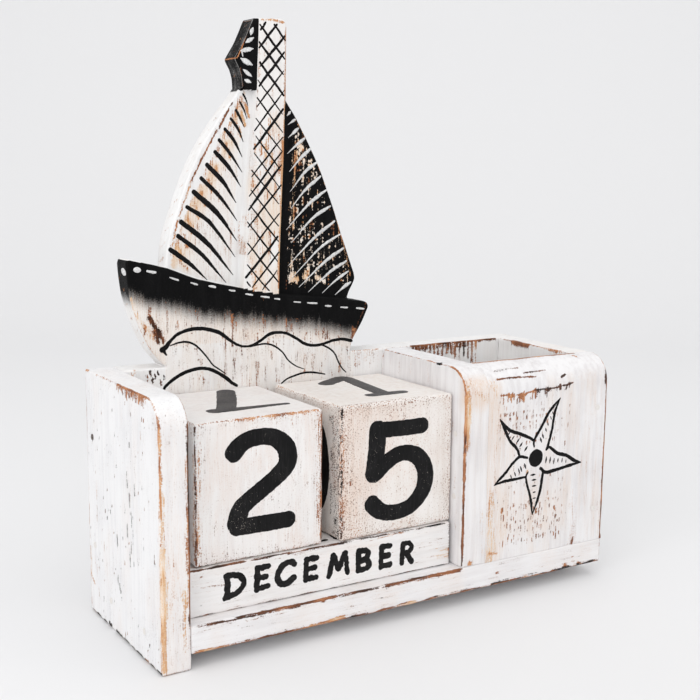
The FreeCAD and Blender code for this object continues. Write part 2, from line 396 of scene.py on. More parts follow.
def painted_wood(name, grain="z", streak=1.5, speck=0.8, paint=(232, 230, 228), shade=(214, 210, 207), thin=(229, 214, 204), seed=0.0, black=False, edge=0.09, specular=0.35):
    """White paint brushed over wood, rubbed through where the mesh says so: wear, tone and thin are numbers on its points. Where black is True, black and smoke are too."""
    s = Shader(name, specular=specular)
    along, across = 165.0, 2500.0
    g = {"x": (along, across, across), "y": (across, along, across), "z": (across, across, along)}[grain]
    n_streak = s.noise(g, detail=3.0, rough=0.6, offset=seed, distortion=0.25)
    n_speck = s.noise(2300.0, detail=2.0, rough=0.55, offset=seed + 3.1)
    n_fine = s.noise(5200.0, detail=1.0, rough=0.5, offset=seed + 7.7)
    n_blotch = s.noise(75.0, detail=3.0, rough=0.5, offset=seed + 1.7)
    n_mid = s.noise(tuple(v * 0.22 for v in g), detail=3.0, rough=0.55, offset=seed + 5.3)

    wear = s.attr("wear")
    tone = s.attr("tone")
    thin_a = s.attr("thin")
    e = s.add(wear, s.centred(n_streak, streak), s.centred(n_speck, speck), s.centred(n_blotch, 0.25))
    bare = s.step(e, 0.5, 0.5 + edge)

    # the paint: cream to grey, brushed along the grain
    tint = s.add(s.centred(n_mid, 1.6), s.centred(n_blotch, 1.0), 0.42)
    paint_c = s.mix(s.step(tint, 0.1, 0.95), lin(*paint), lin(*shade))
    t = s.math("MULTIPLY", s.add(thin_a, s.mul(thin_a, s.centred(n_streak, 2.6)), s.mul(thin_a, s.centred(n_speck, 1.2))), 1.0, clamp=True)
    paint_c = s.mix(t, paint_c, lin(*thin))
    # paint thinning towards a worn place
    halo = s.step(e, 0.28, 0.5, 0.0, 0.22)
    wood_t = s.add(tone, s.centred(n_fine, 0.5), s.centred(n_streak, 0.5), s.centred(n_mid, 0.35))
    wood_c = s.ramp(wood_t, WOOD)
    height_paint = s.math("SUBTRACT", 1.0, bare)
    rough = s.step(n_speck, 0.25, 0.75, 0.5, 0.72)
    if black:
        crisp = s.step(s.add(s.attr("black"), s.centred(n_fine, 0.35), s.centred(n_streak, 0.12)), 0.44, 0.56)
        smoke = s.step(s.add(s.attr("smoke"), s.mul(s.attr("smoke"), s.centred(n_speck, 0.5)), s.mul(s.attr("smoke"), s.centred(n_mid, 0.7))), 0.04, 0.86)
        under = s.mix(halo, paint_c, wood_c)
        dark = s.math("MAXIMUM", crisp, smoke)
        ink = s.mix(s.step(n_mid, 0.35, 0.7), lin(4, 4, 5), lin(12, 12, 13))
        base = s.mix(dark, under, ink)
    else:
        base = s.mix(halo, paint_c, wood_c)
    s.colour(s.mix(bare, base, wood_c))
    s.roughness(s.math("ADD", rough, s.mul(bare, 0.14)))
    h = s.add(s.mul(height_paint, 0.55), s.mul(n_streak, 0.55), s.mul(n_speck, 0.3), s.mul(n_mid, 0.5))
    s.bump(h, distance=0.00013, strength=0.9)
    return s.mat


def ink_paint(name, base=(17, 17, 18), lift=(46, 45, 46), grain="z", seed=0.0, rough=(0.42, 0.62), specks=0.0, fleck=(215, 205, 195), specular=0.15):
    """Brushed black or dark paint on the wood, with the odd fleck of what is below."""
    s = Shader(name, specular=specular)
    g = {"x": (260.0, 2100.0, 2100.0), "y": (2100.0, 260.0, 2100.0), "z": (2100.0, 2100.0, 260.0)}[grain]
    n1 = s.noise(g, detail=3.0, rough=0.6, offset=seed)
    n2 = s.noise(3300.0, detail=2.0, rough=0.5, offset=seed + 2.0)
    n3 = s.noise(110.0, detail=2.0, offset=seed + 4.0)
    f = s.add(s.centred(n1, 1.4), s.centred(n3, 0.9), 0.35)
    c = s.mix(s.step(f, 0.1, 1.0), lin(*base), lin(*lift))
    if specks > 0:
        spot = s.step(s.add(n2, s.centred(n3, 0.22)), 0.80 - specks, 0.83 - specks)
        c = s.mix(spot, c, lin(*fleck))
    s.colour(c)
    s.roughness(s.step(n2, 0.25, 0.75, rough[0], rough[1]))
    s.bump(s.add(s.mul(n1, 0.6), s.mul(n2, 0.5)), distance=0.00009, strength=0.8)
    return s.mat


def white_touch(name, seed=0.0):
    """Thick white paint from a small brush."""
    s = Shader(name, specular=0.35)
    n1 = s.noise(1500.0, detail=3.0, rough=0.55, offset=seed)
    n2 = s.noise(260.0, detail=2.0, offset=seed + 3.0)
    c = s.mix(s.step(s.add(n1, s.centred(n2, 0.4)), 0.32, 0.72), lin(196, 196, 196), lin(233, 233, 233))
    s.colour(c)
    s.roughness(s.step(n1, 0.3, 0.7, 0.5, 0.66))
    s.bump(n1, distance=0.00009, strength=0.8)
    return s.mat


def painted_steel(name):
    """A brad head under the paint, rusting through here and there."""
    s = Shader(name, specular=0.5)
    n1 = s.noise(1500.0, detail=3.0, rough=0.6)
    xyz = s.node("ShaderNodeSeparateXYZ")
    s.put(xyz.inputs[0], s.coord)
    exposed = s.mul(s.step(xyz.outputs[2], 0.045, 0.05), s.step(xyz.outputs[0], -0.084, -0.086))
    f = s.step(s.add(n1, s.mul(exposed, 0.35)), 0.66, 0.78)
    c = s.mix(f, lin(226, 222, 218), lin(74, 58, 50))
    s.colour(c)
    s.bsdf.inputs["Metallic"].default_value = 0.0
    s.roughness(s.step(n1, 0.3, 0.7, 0.42, 0.66))
    s.bump(n1, distance=0.00008, strength=0.7)
    return s.mat


M_LEFT = painted_wood("wash_upright_left", "z", streak=1.2, speck=0.95, seed=0.0, paint=(239, 239, 240), shade=(229, 229, 231))
M_RIGHT = painted_wood("wash_upright_right", "z", streak=1.15, seed=21.0, paint=(238, 237, 236), shade=(227, 225, 224))
# the divider and the cup front share a white a little darker than the other boards': the lower value paints shade onto
# the fronts the lamps light most, and the greyer shade tone stands for scuffing
M_DIV = painted_wood("wash_divider", "z", streak=1.1, seed=35.0, paint=(236, 235, 236), shade=(219, 216, 217), thin=(226, 206, 190))
M_CUP = M_DIV
M_BASE = painted_wood("wash_base", "x", streak=1.15, seed=58.0, paint=(238, 237, 238), shade=(227, 225, 226))
M_PLANK = painted_wood("wash_plank", "z", streak=1.3, seed=66.0, paint=(238, 238, 238), shade=(228, 227, 227), thin=(228, 205, 182), black=True, specular=0.1)
M_CUBE_L = painted_wood("wash_cube_left", "z", streak=1.15, speck=1.2, seed=77.0, paint=(239, 238, 237), shade=(230, 227, 226), thin=(229, 215, 207))
M_CUBE_R = painted_wood("wash_cube_right", "z", streak=0.5, speck=1.75, seed=88.0, paint=(238, 235, 232), shade=(228, 221, 215), thin=(225, 203, 189))
M_BAR = painted_wood("wash_bar", "x", streak=1.6, speck=0.7, seed=99.0, paint=(238, 237, 237), shade=(226, 224, 223))
M_INK = ink_paint("black_brushed", base=(8, 8, 9), lift=(22, 22, 23), specular=0.12)
M_DIGIT = ink_paint("black_digits", base=(12, 12, 13), lift=(36, 35, 36), specks=0.07, specular=0.14, rough=(0.32, 0.46))
# lighter grey ink for the digits on the cubes' tops: painted sheen, the glare the tops catch from above
M_DIGIT_TOP_SHEEN = ink_paint("black_digits_painted_sheen", base=(52, 51, 52), lift=(104, 102, 102), specks=0.05, specular=0.14, rough=(0.4, 0.55))
M_MONTH = ink_paint("black_letters", base=(13, 13, 14), lift=(48, 46, 46), grain="x", specks=0.0)
M_WHITE = white_touch("white_touches")
M_STEEL = painted_steel("painted_brads")


# ---------------------------------------------------------------- the boards of the case
BRADS = {  # node: (axis, side, centres)
    "left": [(0, 57.25, 61), (0, 57.25, 24), (0, 14, 9.25), (0, 43, 9.25)],
    "right": [(175, 57.25, 61), (175, 57.25, 24), (175, 20, 9.25), (175, 43, 9.25)],
    "back": [(115.2, 62.5, 68), (115.2, 62.5, 30), (30, 62.5, 9.25), (85, 62.5, 9.25), (140, 62.5, 9.25)],
    "divider": [(110.2, 5.6, 60), (110.2, 5.6, 38)],
    "cup": [(170.5, 0, 64), (170.5, 0, 26)],
    "base": [(115.2, 16, 4.8), (115.2, 38, 4.8), (134, 5.5, 4.8), (158, 5.5, 4.8)],
}


def dimples(P, centres, inward, near):
    """Sinks the surface a little over each brad, so its head shows."""
    P = P.copy()
    for c in centres:
        d = np.linalg.norm(P - arr(c), axis=1)
        k = 1 - smooth(1.05, 1.9, d)
        P += k[:, None] * arr(inward) * near
    return P


def arc_edge(x, y0, z1, R, n=9):
    """The curved top-front edge of an end panel."""
    a = np.linspace(0, math.pi / 2, n)
    return [(x, y0 + R - R * math.sin(t), z1 - R + R * math.cos(t)) for t in a]


def finish_board(name, node, V, Q, body, mat, strokes, base=0.08, thin=None, dim=None, inward=(0, 0, 0), replaces=None, extra=None):
    P = V + wobble(V)
    if dim:
        P = dimples(P, dim, inward, 0.22)
    wear, tone = wear_from(V, strokes)
    low = base + 0.17 * fbm(V, 11.0, 61) * (0.4 + fbm(V, (5, 5, 18), 67))
    tone = np.where(wear < low, 0.38 + 0.5 * noise(V, 9.0, 71), tone)
    wear = np.maximum(wear, low)
    th = 0.05 + 0.25 * smooth(0.35, 0.8, fbm(V, (9, 9, 22), 73)) if thin is None else thin(V)
    attrs = {"wear": wear, "tone": tone, "thin": th}
    if extra:
        attrs.update(extra)
    return make(name, P, Q, body, mat, attrs, replaces=[node] if replaces is None else replaces)


# left end panel
lo, hi = (0.0, 0.0, 0.0), (9.5, 62.5, 83.0)
V, Q = shell(lines(lo[0], hi[0], 0.9), lines(lo[1], hi[1], 0.6), lines(lo[2], hi[2], 0.6))
V = ease(V, lo, hi, 0.75, nose=9.5, seed=3)
L = []
L += [([(0, 52, 83), (0, 40, 83), (0, 33, 83)], 0.9, 0.62, 0.45, 0.6)]
L += [([(0, 33, 83), (0, 22, 83), (0, 9, 83)], 1.0, 1.0, 0.5, 0.4)]
g = np.random.default_rng(5)
for y in np.arange(9.5, 33.5, 0.62):
    L += [([(0, y, 83), (0, y - 0.2, 83 - g.uniform(1.0, 3.6))], 0.5, g.uniform(0.6, 1.0), g.uniform(0.36, 0.62), 0.5)]
L += [(arc_edge(0, 0, 83, 9.5), 1.0, 0.78, 0.38, 0.55)]
L += [([(0, 8.5, 81.2), (0, 4.0, 78.3), (0, 1.8, 75.0)], 1.4, 0.42, 0.45, 0.7)]
L += [([(0, 0, 75), (0, 0, 62), (0, 0, 49)], 1.15, 0.82, 0.34, 0.5)]
L += [([(0.8, 0, 56), (1.2, 0, 51), (0.9, 0, 46)], 1.2, 0.6, 0.2, 0.6)]
L += [([(0, 0, 49), (0, 0, 39)], 0.7, 0.66, 0.42, 0.7), ([(0.5, 0, 47), (0.7, 0, 38)], 1.5, 0.62, 0.16, 0.5)]
L += [([(0.7, 0, 39), (0.8, 0, 22), (0.6, 0, 2)], 1.9, 0.78, 0.13, 0.35)]
L += [([(0, 0, 39), (0, 0, 20), (0, 0, 1)], 0.75, 0.8, 0.4, 0.5)]
L += [([(7.0, 0, 27), (7.3, 0, 17), (7.1, 0, 6)], 0.85, 0.68, 0.16, 0.6)]
L += [([(9.5, 0, 76), (9.5, 0, 46), (9.5, 0, 15)], 1.15, 1.1, 0.74, 0.2)]
L += [([(9.5, 0, 15), (9.5, 0, 2)], 0.7, 0.72, 0.5, 0.6)]
L += [([(8.8, 0, 66), (8.6, 0, 40), (8.7, 0, 20)], 0.9, 0.62, 0.36, 0.7)]
for y0, y1, tn in [(1, 4, 0.9), (6, 9, 0.95), (11, 13, 0.6), (15, 20, 0.93), (26, 28, 0.97), (33, 34.5, 0.97), (47, 50, 0.9), (53, 56, 0.97)]:
    L += [([(0, y0, 0.4), (0, y1, 0.4)], 0.95, 0.95, tn, 0.6)]
L += [(arc_edge(9.5, 0, 83, 9.5), 0.75, 0.68, 0.45, 0.6)]
L += [([(9.5, 9.5, 83), (9.5, 30, 83), (9.5, 52, 83)], 0.75, 0.66, 0.5, 0.7)]
L += [([(3.8, 0, 36), (3.6, 0, 14)], 1.1, 0.33, 0.3, 0.6), ([(5.2, 0, 31), (5.0, 0, 18)], 0.8, 0.33, 0.35, 0.6)]
L += [([(0, 62.5, 83), (0, 60, 83)], 1.6, 0.7, 0.3, 0.6), ([(0, 62.5, 83), (9.5, 62.5, 83)], 0.9, 0.6, 0.35, 0.7)]
L += [([(0, 62, 12.8), (0, 60, 11.4), (0, 58, 10.2)], 0.7, 0.85, 0.42, 0.6), ([(0, 61.8, 22), (0, 60.8, 17), (0, 61.4, 13)], 1.0, 0.62, 0.3, 0.7)]
L += [([(0, 62.3, 80), (0, 62.3, 42), (0, 62.3, 2)], 1.0, 0.78, 0.42, 0.6), ([(9.5, 62.5, 80), (9.5, 62.5, 2)], 0.8, 0.6, 0.45, 0.8)]
L += [([(0, 61, 0), (0, 35, 0), (0, 0, 0)], 0.9, 0.9, 0.72, 0.6), ([(0, 0, 0), (9.5, 0, 0)], 0.85, 0.8, 0.5, 0.5)]
L += [([(0, 44.2, 1.4), (0, 42.5, 1.2)], 1.3, 0.9, 0.97, 0.6), ([(0, 37.8, 0.6), (0, 35.5, 0.6)], 1.0, 0.9, 0.97, 0.6), ([(0, 30.6, 0.6), (0, 29, 0.5)], 1.1, 0.9, 0.97, 0.6), ([(0, 24.6, 0.5), (0, 22, 0.5)], 0.9, 0.9, 0.97, 0.6)]
L += [([(9.5, 0, 0), (9.5, 61, 0)], 0.9, 0.7, 0.6, 0.6), ([(9.5, 62.5, 0), (0, 62.5, 0)], 0.9, 0.7, 0.6, 0.6)]
for y, z, ln in [(25.8, 54.1, 4.5), (24.4, 48, 4), (23.1, 42, 4.5), (23.6, 32.9, 4), (26.7, 37.8, 4), (35.8, 32, 3), (35.7, 18.7, 2.6), (34.1, 16.6, 2.6), (20, 52.3, 3.2), (24.8, 29, 5), (22.2, 36.5, 3.5), (28.2, 44, 3)]:
    L.append(([(0, y, z + ln / 2), (0, y - 0.3, z - ln / 2)], 0.9, 0.64, 0.88, 0.7))
for y, z, r, tn in [(44.6, 37.2, 0.65, 0.97), (42.9, 61.4, 0.4, 0.9), (11.5, 75.7, 0.5, 0.5), (46.3, 39.0, 0.45, 0.6), (39.6, 42.5, 0.4, 0.6), (56.9, 60.9, 0.6, 0.97)]:
    L.append(([(0, y, z), (0, y, z - 0.4)], r, 0.98, tn, 0.2))
for y, z, ln in [(57.4, 18.7, 3), (55.6, 15.8, 3), (60, 8.5, 3), (54.2, 8.6, 2.5), (53.8, 44, 6), (54.1, 36, 5), (59.5, 30, 7), (48, 26, 3), (14, 70, 3), (17, 66.5, 3), (12, 62, 2.5)]:
    L.append(([(0, y, z + ln / 2), (0, y, z - ln / 2)], 0.7, 0.5, 0.42, 0.7))


g = np.random.default_rng(8)
for k in range(190):
    y, z = g.uniform(1, 61), g.uniform(2, 80)
    L.append(([(0, y, z), (0, y + g.uniform(-0.15, 0.15), z - g.uniform(0.2, 1.4))], g.uniform(0.26, 0.42), g.uniform(0.5, 0.85), g.choice([0.45, 0.6, 0.9, 0.97]), 0.5))


def left_thin(V):
    front = 1 - smooth(0.0, 2.5, V[:, 1])
    low = 1 - smooth(36, 60, V[:, 2])
    return 0.04 + 0.16 * smooth(0.45, 0.8, fbm(V, (9, 9, 22), 73)) + 0.30 * front * (0.35 + 0.65 * low)


finish_board("left_end_panel_painted", "left_end_panel", V, Q, "case", M_LEFT, L, base=0.07, thin=left_thin, dim=BRADS["left"], inward=(1, 0, 0))

# divider
lo, hi = (110.2, 0.0, 13.7), (120.2, 52.0, 83.0)
V, Q = shell(lines(lo[0], hi[0], 0.95), lines(lo[1], hi[1], 1.0), lines(lo[2], hi[2], 1.0))
V = ease(V, lo, hi, 0.7, nose=9.5, seed=9, tight=lambda p: 1 - 0.95 * (smooth(117.5, 119, p[:, 0]) * (1 - smooth(9.5, 11.5, p[:, 1]))))
L = []
L += [(arc_edge(110.2, 0, 83, 9.5), 0.95, 0.86, 0.42, 0.45)]
L += [([(110.2, 0, 74), (110.2, 0, 60), (110.2, 0, 45)], 1.25, 0.95, 0.40, 0.4)]
L += [([(110.2, 0, 60), (110.2, 0, 40), (110.2, 0, 22)], 1.1, 0.98, 0.58, 0.4)]
L += [([(110.2, 0, 22), (110.2, 0, 14.5)], 0.9, 0.9, 0.72, 0.5)]
L += [([(111.2, 0.3, 76), (111.8, 0, 68), (111.3, 0, 56)], 2.1, 0.72, 0.22, 0.5)]
L += [([(112.5, 1.2, 78), (115.5, 0.1, 74.5), (119.5, 0, 72.5)], 3.2, 0.55, 0.16, 0.6)]
L += [([(110.2, 9.5, 83), (110.2, 30, 83), (110.2, 50, 83)], 0.75, 0.74, 0.45, 0.6)]
L += [([(110.2, 15.2, 83), (110.2, 16.6, 83)], 1.2, 0.98, 0.97, 0.4), ([(110.8, 16, 83), (111.8, 16, 83)], 0.7, 0.85, 0.97, 0.5)]
L += [([(110.2, 40.5, 83), (110.2, 42.5, 83)], 0.9, 0.8, 0.7, 0.5)]
L += [([(120.2, 11, 83), (120.2, 30, 83), (120.2, 50, 83)], 0.75, 0.72, 0.5, 0.6)]
L += [([(110.2, 51, 81), (110.2, 51.5, 60)], 0.7, 0.6, 0.4, 0.7)]
L += [([(118.6, 0, 33), (119.0, 0, 17)], 1.3, 0.42, 0.2, 0.7)]
for y, z, ln in [(40, 78, 5), (33, 79, 4), (22, 78, 5), (46, 77, 5), (12, 72, 6), (7, 60, 8), (5, 45, 8), (4, 30, 6)]:
    L.append(([(110.2, y, z + ln / 2), (110.2, y, z - ln / 2)], 0.8, 0.42, 0.35, 0.7))
L += [([(110.2, 0, 13.9), (116, 0, 13.9)], 0.5, 0.4, 0.45, 0.7), ([(113.5, 0, 15.0), (114.4, 0, 14.6)], 1.3, 0.95, 0.42, 0.5)]


def div_thin(V):
    front = 1 - smooth(1.0, 5.0, V[:, 1])
    return 0.02 + front * (0.05 + 0.5 * smooth(66, 72, V[:, 2]) * (1 - smooth(78, 82, V[:, 2])) + 0.22 * smooth(0.4, 0.8, fbm(V, (3.5, 9, 30), 75)))


finish_board("divider_painted", "divider_panel", V, Q, "case", M_DIV, L, base=0.04, thin=div_thin, dim=BRADS["divider"], inward=(1, 0, 0))

# front of the pen cup
lo, hi = (120.2, 0.0, 13.7), (175.0, 11.0, 83.0)
V, Q = shell(lines(lo[0], hi[0], 0.5), lines(lo[1], hi[1], 0.95), lines(lo[2], hi[2], 0.5))
V = ease(V, lo, hi, 0.7, nose=9.5, seed=15, tight=lambda p: 1 - 0.95 * np.maximum(1 - smooth(121.2, 122.6, p[:, 0]), (1 - smooth(14.6, 16, p[:, 2])) * (1 - smooth(9, 10, p[:, 1]))))
L = []
row = [(125.2, 0, 72.9), (130.0, 0, 72.6), (135.8, 0, 72.4), (140.3, 0, 73.1), (144.9, 0, 73.2), (149.5, 0, 73.2), (154.2, 0, 73.8), (158.0, 0, 74.3)]
L += [(row[:4], 0.5, 1.0, 0.48, 0.5), (row[3:], 0.5, 1.0, 0.8, 0.5)]
g = np.random.default_rng(12)
for x in np.arange(125.5, 157.0, 0.55):
    z = np.interp(x, [p[0] for p in row], [p[2] for p in row])
    ln = g.uniform(0.6, 3.0) * (1.1 if x < 146 else 0.55)
    L.append(([(x, 0, z + g.uniform(0.1, 0.9)), (x + g.uniform(-0.1, 0.1), 0, z - ln)], 0.3, g.uniform(0.6, 0.95), 0.48 if x < 141 else 0.8, 0.5))
L += [([(124.1, 1.3, 78.3), (131.1, 1.3, 78.4), (141.5, 1.05, 77.8)], 0.45, 1.0, 0.66, 0.6)]
L += [([(152.9, 0.6, 76.8), (155.0, 0.9, 77.5)], 0.7, 1.0, 0.85, 0.4), ([(124.4, 3.4, 80.8), (135.4, 3.6, 81.0)], 0.42, 0.85, 0.66, 0.8), ([(136.5, 2.0, 79.3), (147.0, 2.15, 79.6)], 0.42, 0.9, 0.72, 0.8)]
L += [([(122.6, 0, 38), (122.4, 0, 25), (122.6, 0, 14.5)], 3.6, 0.6, 0.18, 0.7), ([(122.0, 0, 17), (125.4, 0, 16.3)], 1.2, 0.72, 0.42, 0.6)]
L += [([(121.5, 0, 77.5), (123.5, 0, 74.0)], 3.0, 0.5, 0.2, 0.7), ([(124.5, 0, 70), (124.0, 0, 60)], 1.8, 0.38, 0.26, 0.7), ([(123.5, 0, 56), (123.2, 0, 42)], 1.6, 0.36, 0.28, 0.7)]
for x in np.arange(126.5, 155.5, 1.05):
    for z in np.arange(20.0, 33.5, 2.1):
        if g.random() < 0.62:
            ln = g.uniform(0.6, 2.0)
            xx, zz = x + g.uniform(-0.4, 0.4), z + g.uniform(-0.8, 0.8)
            L.append(([(xx, 0, zz), (xx + g.uniform(-0.12, 0.12), 0, zz - ln)], 0.42, g.uniform(0.6, 0.9), g.uniform(0.42, 0.62), 0.6))
for x in np.arange(125.5, 158.0, 1.3):
    for z in np.arange(33.5, 71.5, 2.2):
        near = abs(math.hypot(x - 141.5, z - 48.5))
        if g.random() < (0.24 if near < 16 else 0.4) * (1.0 if z > 60 or z < 44 or x < 131 else 0.6):
            ln = g.uniform(0.4, 1.6)
            xx = x + g.uniform(-0.6, 0.6)
            L.append(([(xx, 0, z), (xx + g.uniform(-0.1, 0.1), 0, z - ln)], 0.38, g.uniform(0.5, 0.8), g.uniform(0.4, 0.6), 0.6))
for z in (66.5, 64.6, 62.4, 60.8, 57.9, 55.5):
    for x in np.arange(125.5, 152.0, 0.75):
        if g.random() < 0.55:
            L.append(([(x, 0, z), (x + g.uniform(-0.1, 0.1), 0, z - g.uniform(0.5, 1.6))], 0.34, g.uniform(0.5, 0.85), g.uniform(0.44, 0.62), 0.6))
L += [([(161.5, 0, 31), (161.8, 0, 18), (162.6, 0, 5)], 1.8, 0.42, 0.42, 0.7), ([(169.5, 0, 70), (169.3, 0, 50), (169.6, 0, 30)], 1.2, 0.3, 0.3, 0.7), ([(164.0, 0, 56), (163.5, 0, 36)], 1.2, 0.28, 0.4, 0.7)]
L += [([(174.8, 0, 73), (174.8, 0, 50), (174.8, 0, 14)], 1.2, 1.1, 0.56, 0.3), ([(175, 0.6, 77), (175, 0.2, 72.5)], 1.5, 0.98, 0.85, 0.45), ([(174.2, 0.2, 75.5), (174.0, 0.1, 73)], 1.0, 0.9, 0.8, 0.5)]
L += [(arc_edge(175, 0, 83, 9.5), 1.0, 1.0, 0.42, 0.45)]
L += [([(121, 10.1, 83), (149.6, 10.1, 83), (166, 10.1, 83)], 1.8, 1.05, 0.44, 0.4), ([(160, 0, 34), (160.3, 0, 24), (160, 0, 15)], 1.8, 0.4, 0.3, 0.6), ([(166.5, 0, 70), (166.5, 0, 50), (166.3, 0, 20)], 2.2, 0.28, 0.24, 0.7), ([(160, 10, 83), (165.5, 11, 83)], 1.2, 0.55, 0.4, 0.6), ([(163.5, 7.5, 83), (164.8, 6.0, 82.5)], 0.9, 0.75, 0.32, 0.5)]
L += [([(160.2, 0, 14.2), (161.0, 0, 16.0)], 1.1, 0.72, 0.45, 0.5), ([(157.7, 0, 14.1), (166.2, 0, 14.2)], 0.7, 0.5, 0.5, 0.7)]

L += [([(138.0, 0, 43.5), (138.3, 0, 44.6)], 0.6, 0.9, 0.3, 0.5)]


def cup_thin(V):
    left = 1 - smooth(121, 129, V[:, 0])
    mid = smooth(124, 128, V[:, 0]) * (1 - smooth(153, 160, V[:, 0])) * (1 - smooth(66, 74, V[:, 2])) * (1 - smooth(-1, 2, V[:, 1]))
    low = smooth(18, 24, V[:, 2]) * (1 - smooth(30, 44, V[:, 2]))
    band = smooth(0.42, 0.75, fbm(V, (3.2, 9, 26), 74)) * (1 - smooth(-1, 2, V[:, 1]))
    return 0.02 + 0.38 * band + 0.34 * left * (1 - smooth(76, 80, V[:, 2])) + mid * (0.10 + 0.3 * low)


finish_board("cup_front_painted", "cup_front_panel", V, Q, "case", M_CUP, L, base=0.08, thin=cup_thin, dim=BRADS["cup"], inward=(0, 1, 0))

# right end panel, behind the cup front
lo, hi = (166.0, 11.0, 0.0), (175.0, 62.5, 83.0)
V, Q = shell(lines(lo[0], hi[0], 1.0), lines(lo[1], hi[1], 1.1), lines(lo[2], hi[2], 1.1))
V = ease(V, lo, hi, 0.7, seed=21)
L = []
L += [([(166, 12, 83), (166, 30, 83), (166, 52, 83)], 0.75, 0.74, 0.48, 0.6)]
L += [([(166, 34, 82.6), (166, 38, 82.2), (166, 44, 82.6)], 2.0, 0.9, 0.58, 0.6), ([(166, 16, 82.8), (166, 20, 82.5), (166, 25, 82.8)], 1.3, 0.72, 0.38, 0.6)]
L += [([(175, 11, 83), (175, 35, 83), (175, 62, 83)], 0.9, 0.75, 0.42, 0.6), ([(175, 62.5, 82), (175, 62.5, 1)], 0.85, 0.7, 0.45, 0.7)]
L += [([(175, 11, 0), (175, 62, 0)], 1.1, 0.85, 0.75, 0.6), ([(166, 11, 0), (175, 11, 0)], 0.9, 0.7, 0.6, 0.6), ([(166, 62.5, 83), (175, 62.5, 83)], 0.9, 0.65, 0.45, 0.7), ([(175, 11.3, 80), (175, 11.3, 3)], 0.6, 0.55, 0.5, 0.8)]
for y, z, ln in [(40, 60, 7), (43, 52, 6), (38, 46, 7), (22, 34, 6), (25, 28, 6), (50, 22, 5), (30, 70, 5), (34, 66, 6), (55, 40, 8), (18, 56, 5), (20, 12, 4), (46, 10, 4)]:
    L.append(([(175, y, z + ln / 2), (175, y + 0.3, z - ln / 2)], 1.0, 0.52, 0.75, 0.7))
finish_board("right_end_panel_painted", "right_end_panel", V, Q, "case", M_RIGHT, L, base=0.07, thin=lambda V: 0.04 + 0.2 * smooth(0.35, 0.8, fbm(V, (9, 9, 22), 73)) * (V[:, 0] > 167), dim=BRADS["right"], inward=(-1, 0, 0))


# ---------------------------------------------------------------- plates: outlines cut from a board
def resample(poly, step):
    """Points along a closed outline, with its corners kept."""
    poly = arr(poly)
    out = []
    for a, b in zip(poly, np.roll(poly, -1, axis=0)):
        n = max(1, int(round(np.linalg.norm(b - a) / step)))
        out.append(a + (b - a) * (np.arange(n) / n)[:, None])
    return np.vstack(out)


def edge_distance(P, ring):
    """Distance from points to a closed outline given as close samples."""
    kd = KDTree(len(ring))
    for i, p in enumerate(ring.tolist()):
        kd.insert((p[0], p[1], 0.0), i)
    kd.balance()
    k = np.array([kd.find((p[0], p[1], 0.0))[1] for p in P.tolist()], dtype=int)
    best = np.full(len(P), 1e9)
    n = len(ring)
    for da, db in ((-1, 0), (0, 1), (-2, -1), (1, 2)):
        a, b = ring[(k + da) % n], ring[(k + db) % n]
        ab = b - a
        t = np.clip(((P - a) * ab).sum(1) / np.maximum((ab * ab).sum(1), 1e-12), 0, 1)
        best = np.minimum(best, np.linalg.norm(P - (a + t[:, None] * ab), axis=1))
    return best


def hexes(lo, hi, s, seed):
    g = np.random.default_rng(seed)
    rows = np.arange(lo[1], hi[1], s * 0.866)
    out = []
    for i, v in enumerate(rows):
        u = np.arange(lo[0] + (i % 2) * s / 2, hi[0], s)
        out.append(np.stack([u, np.full(len(u), v)], 1))
    p = np.vstack(out)
    return p + g.uniform(-0.12, 0.12, p.shape) * s


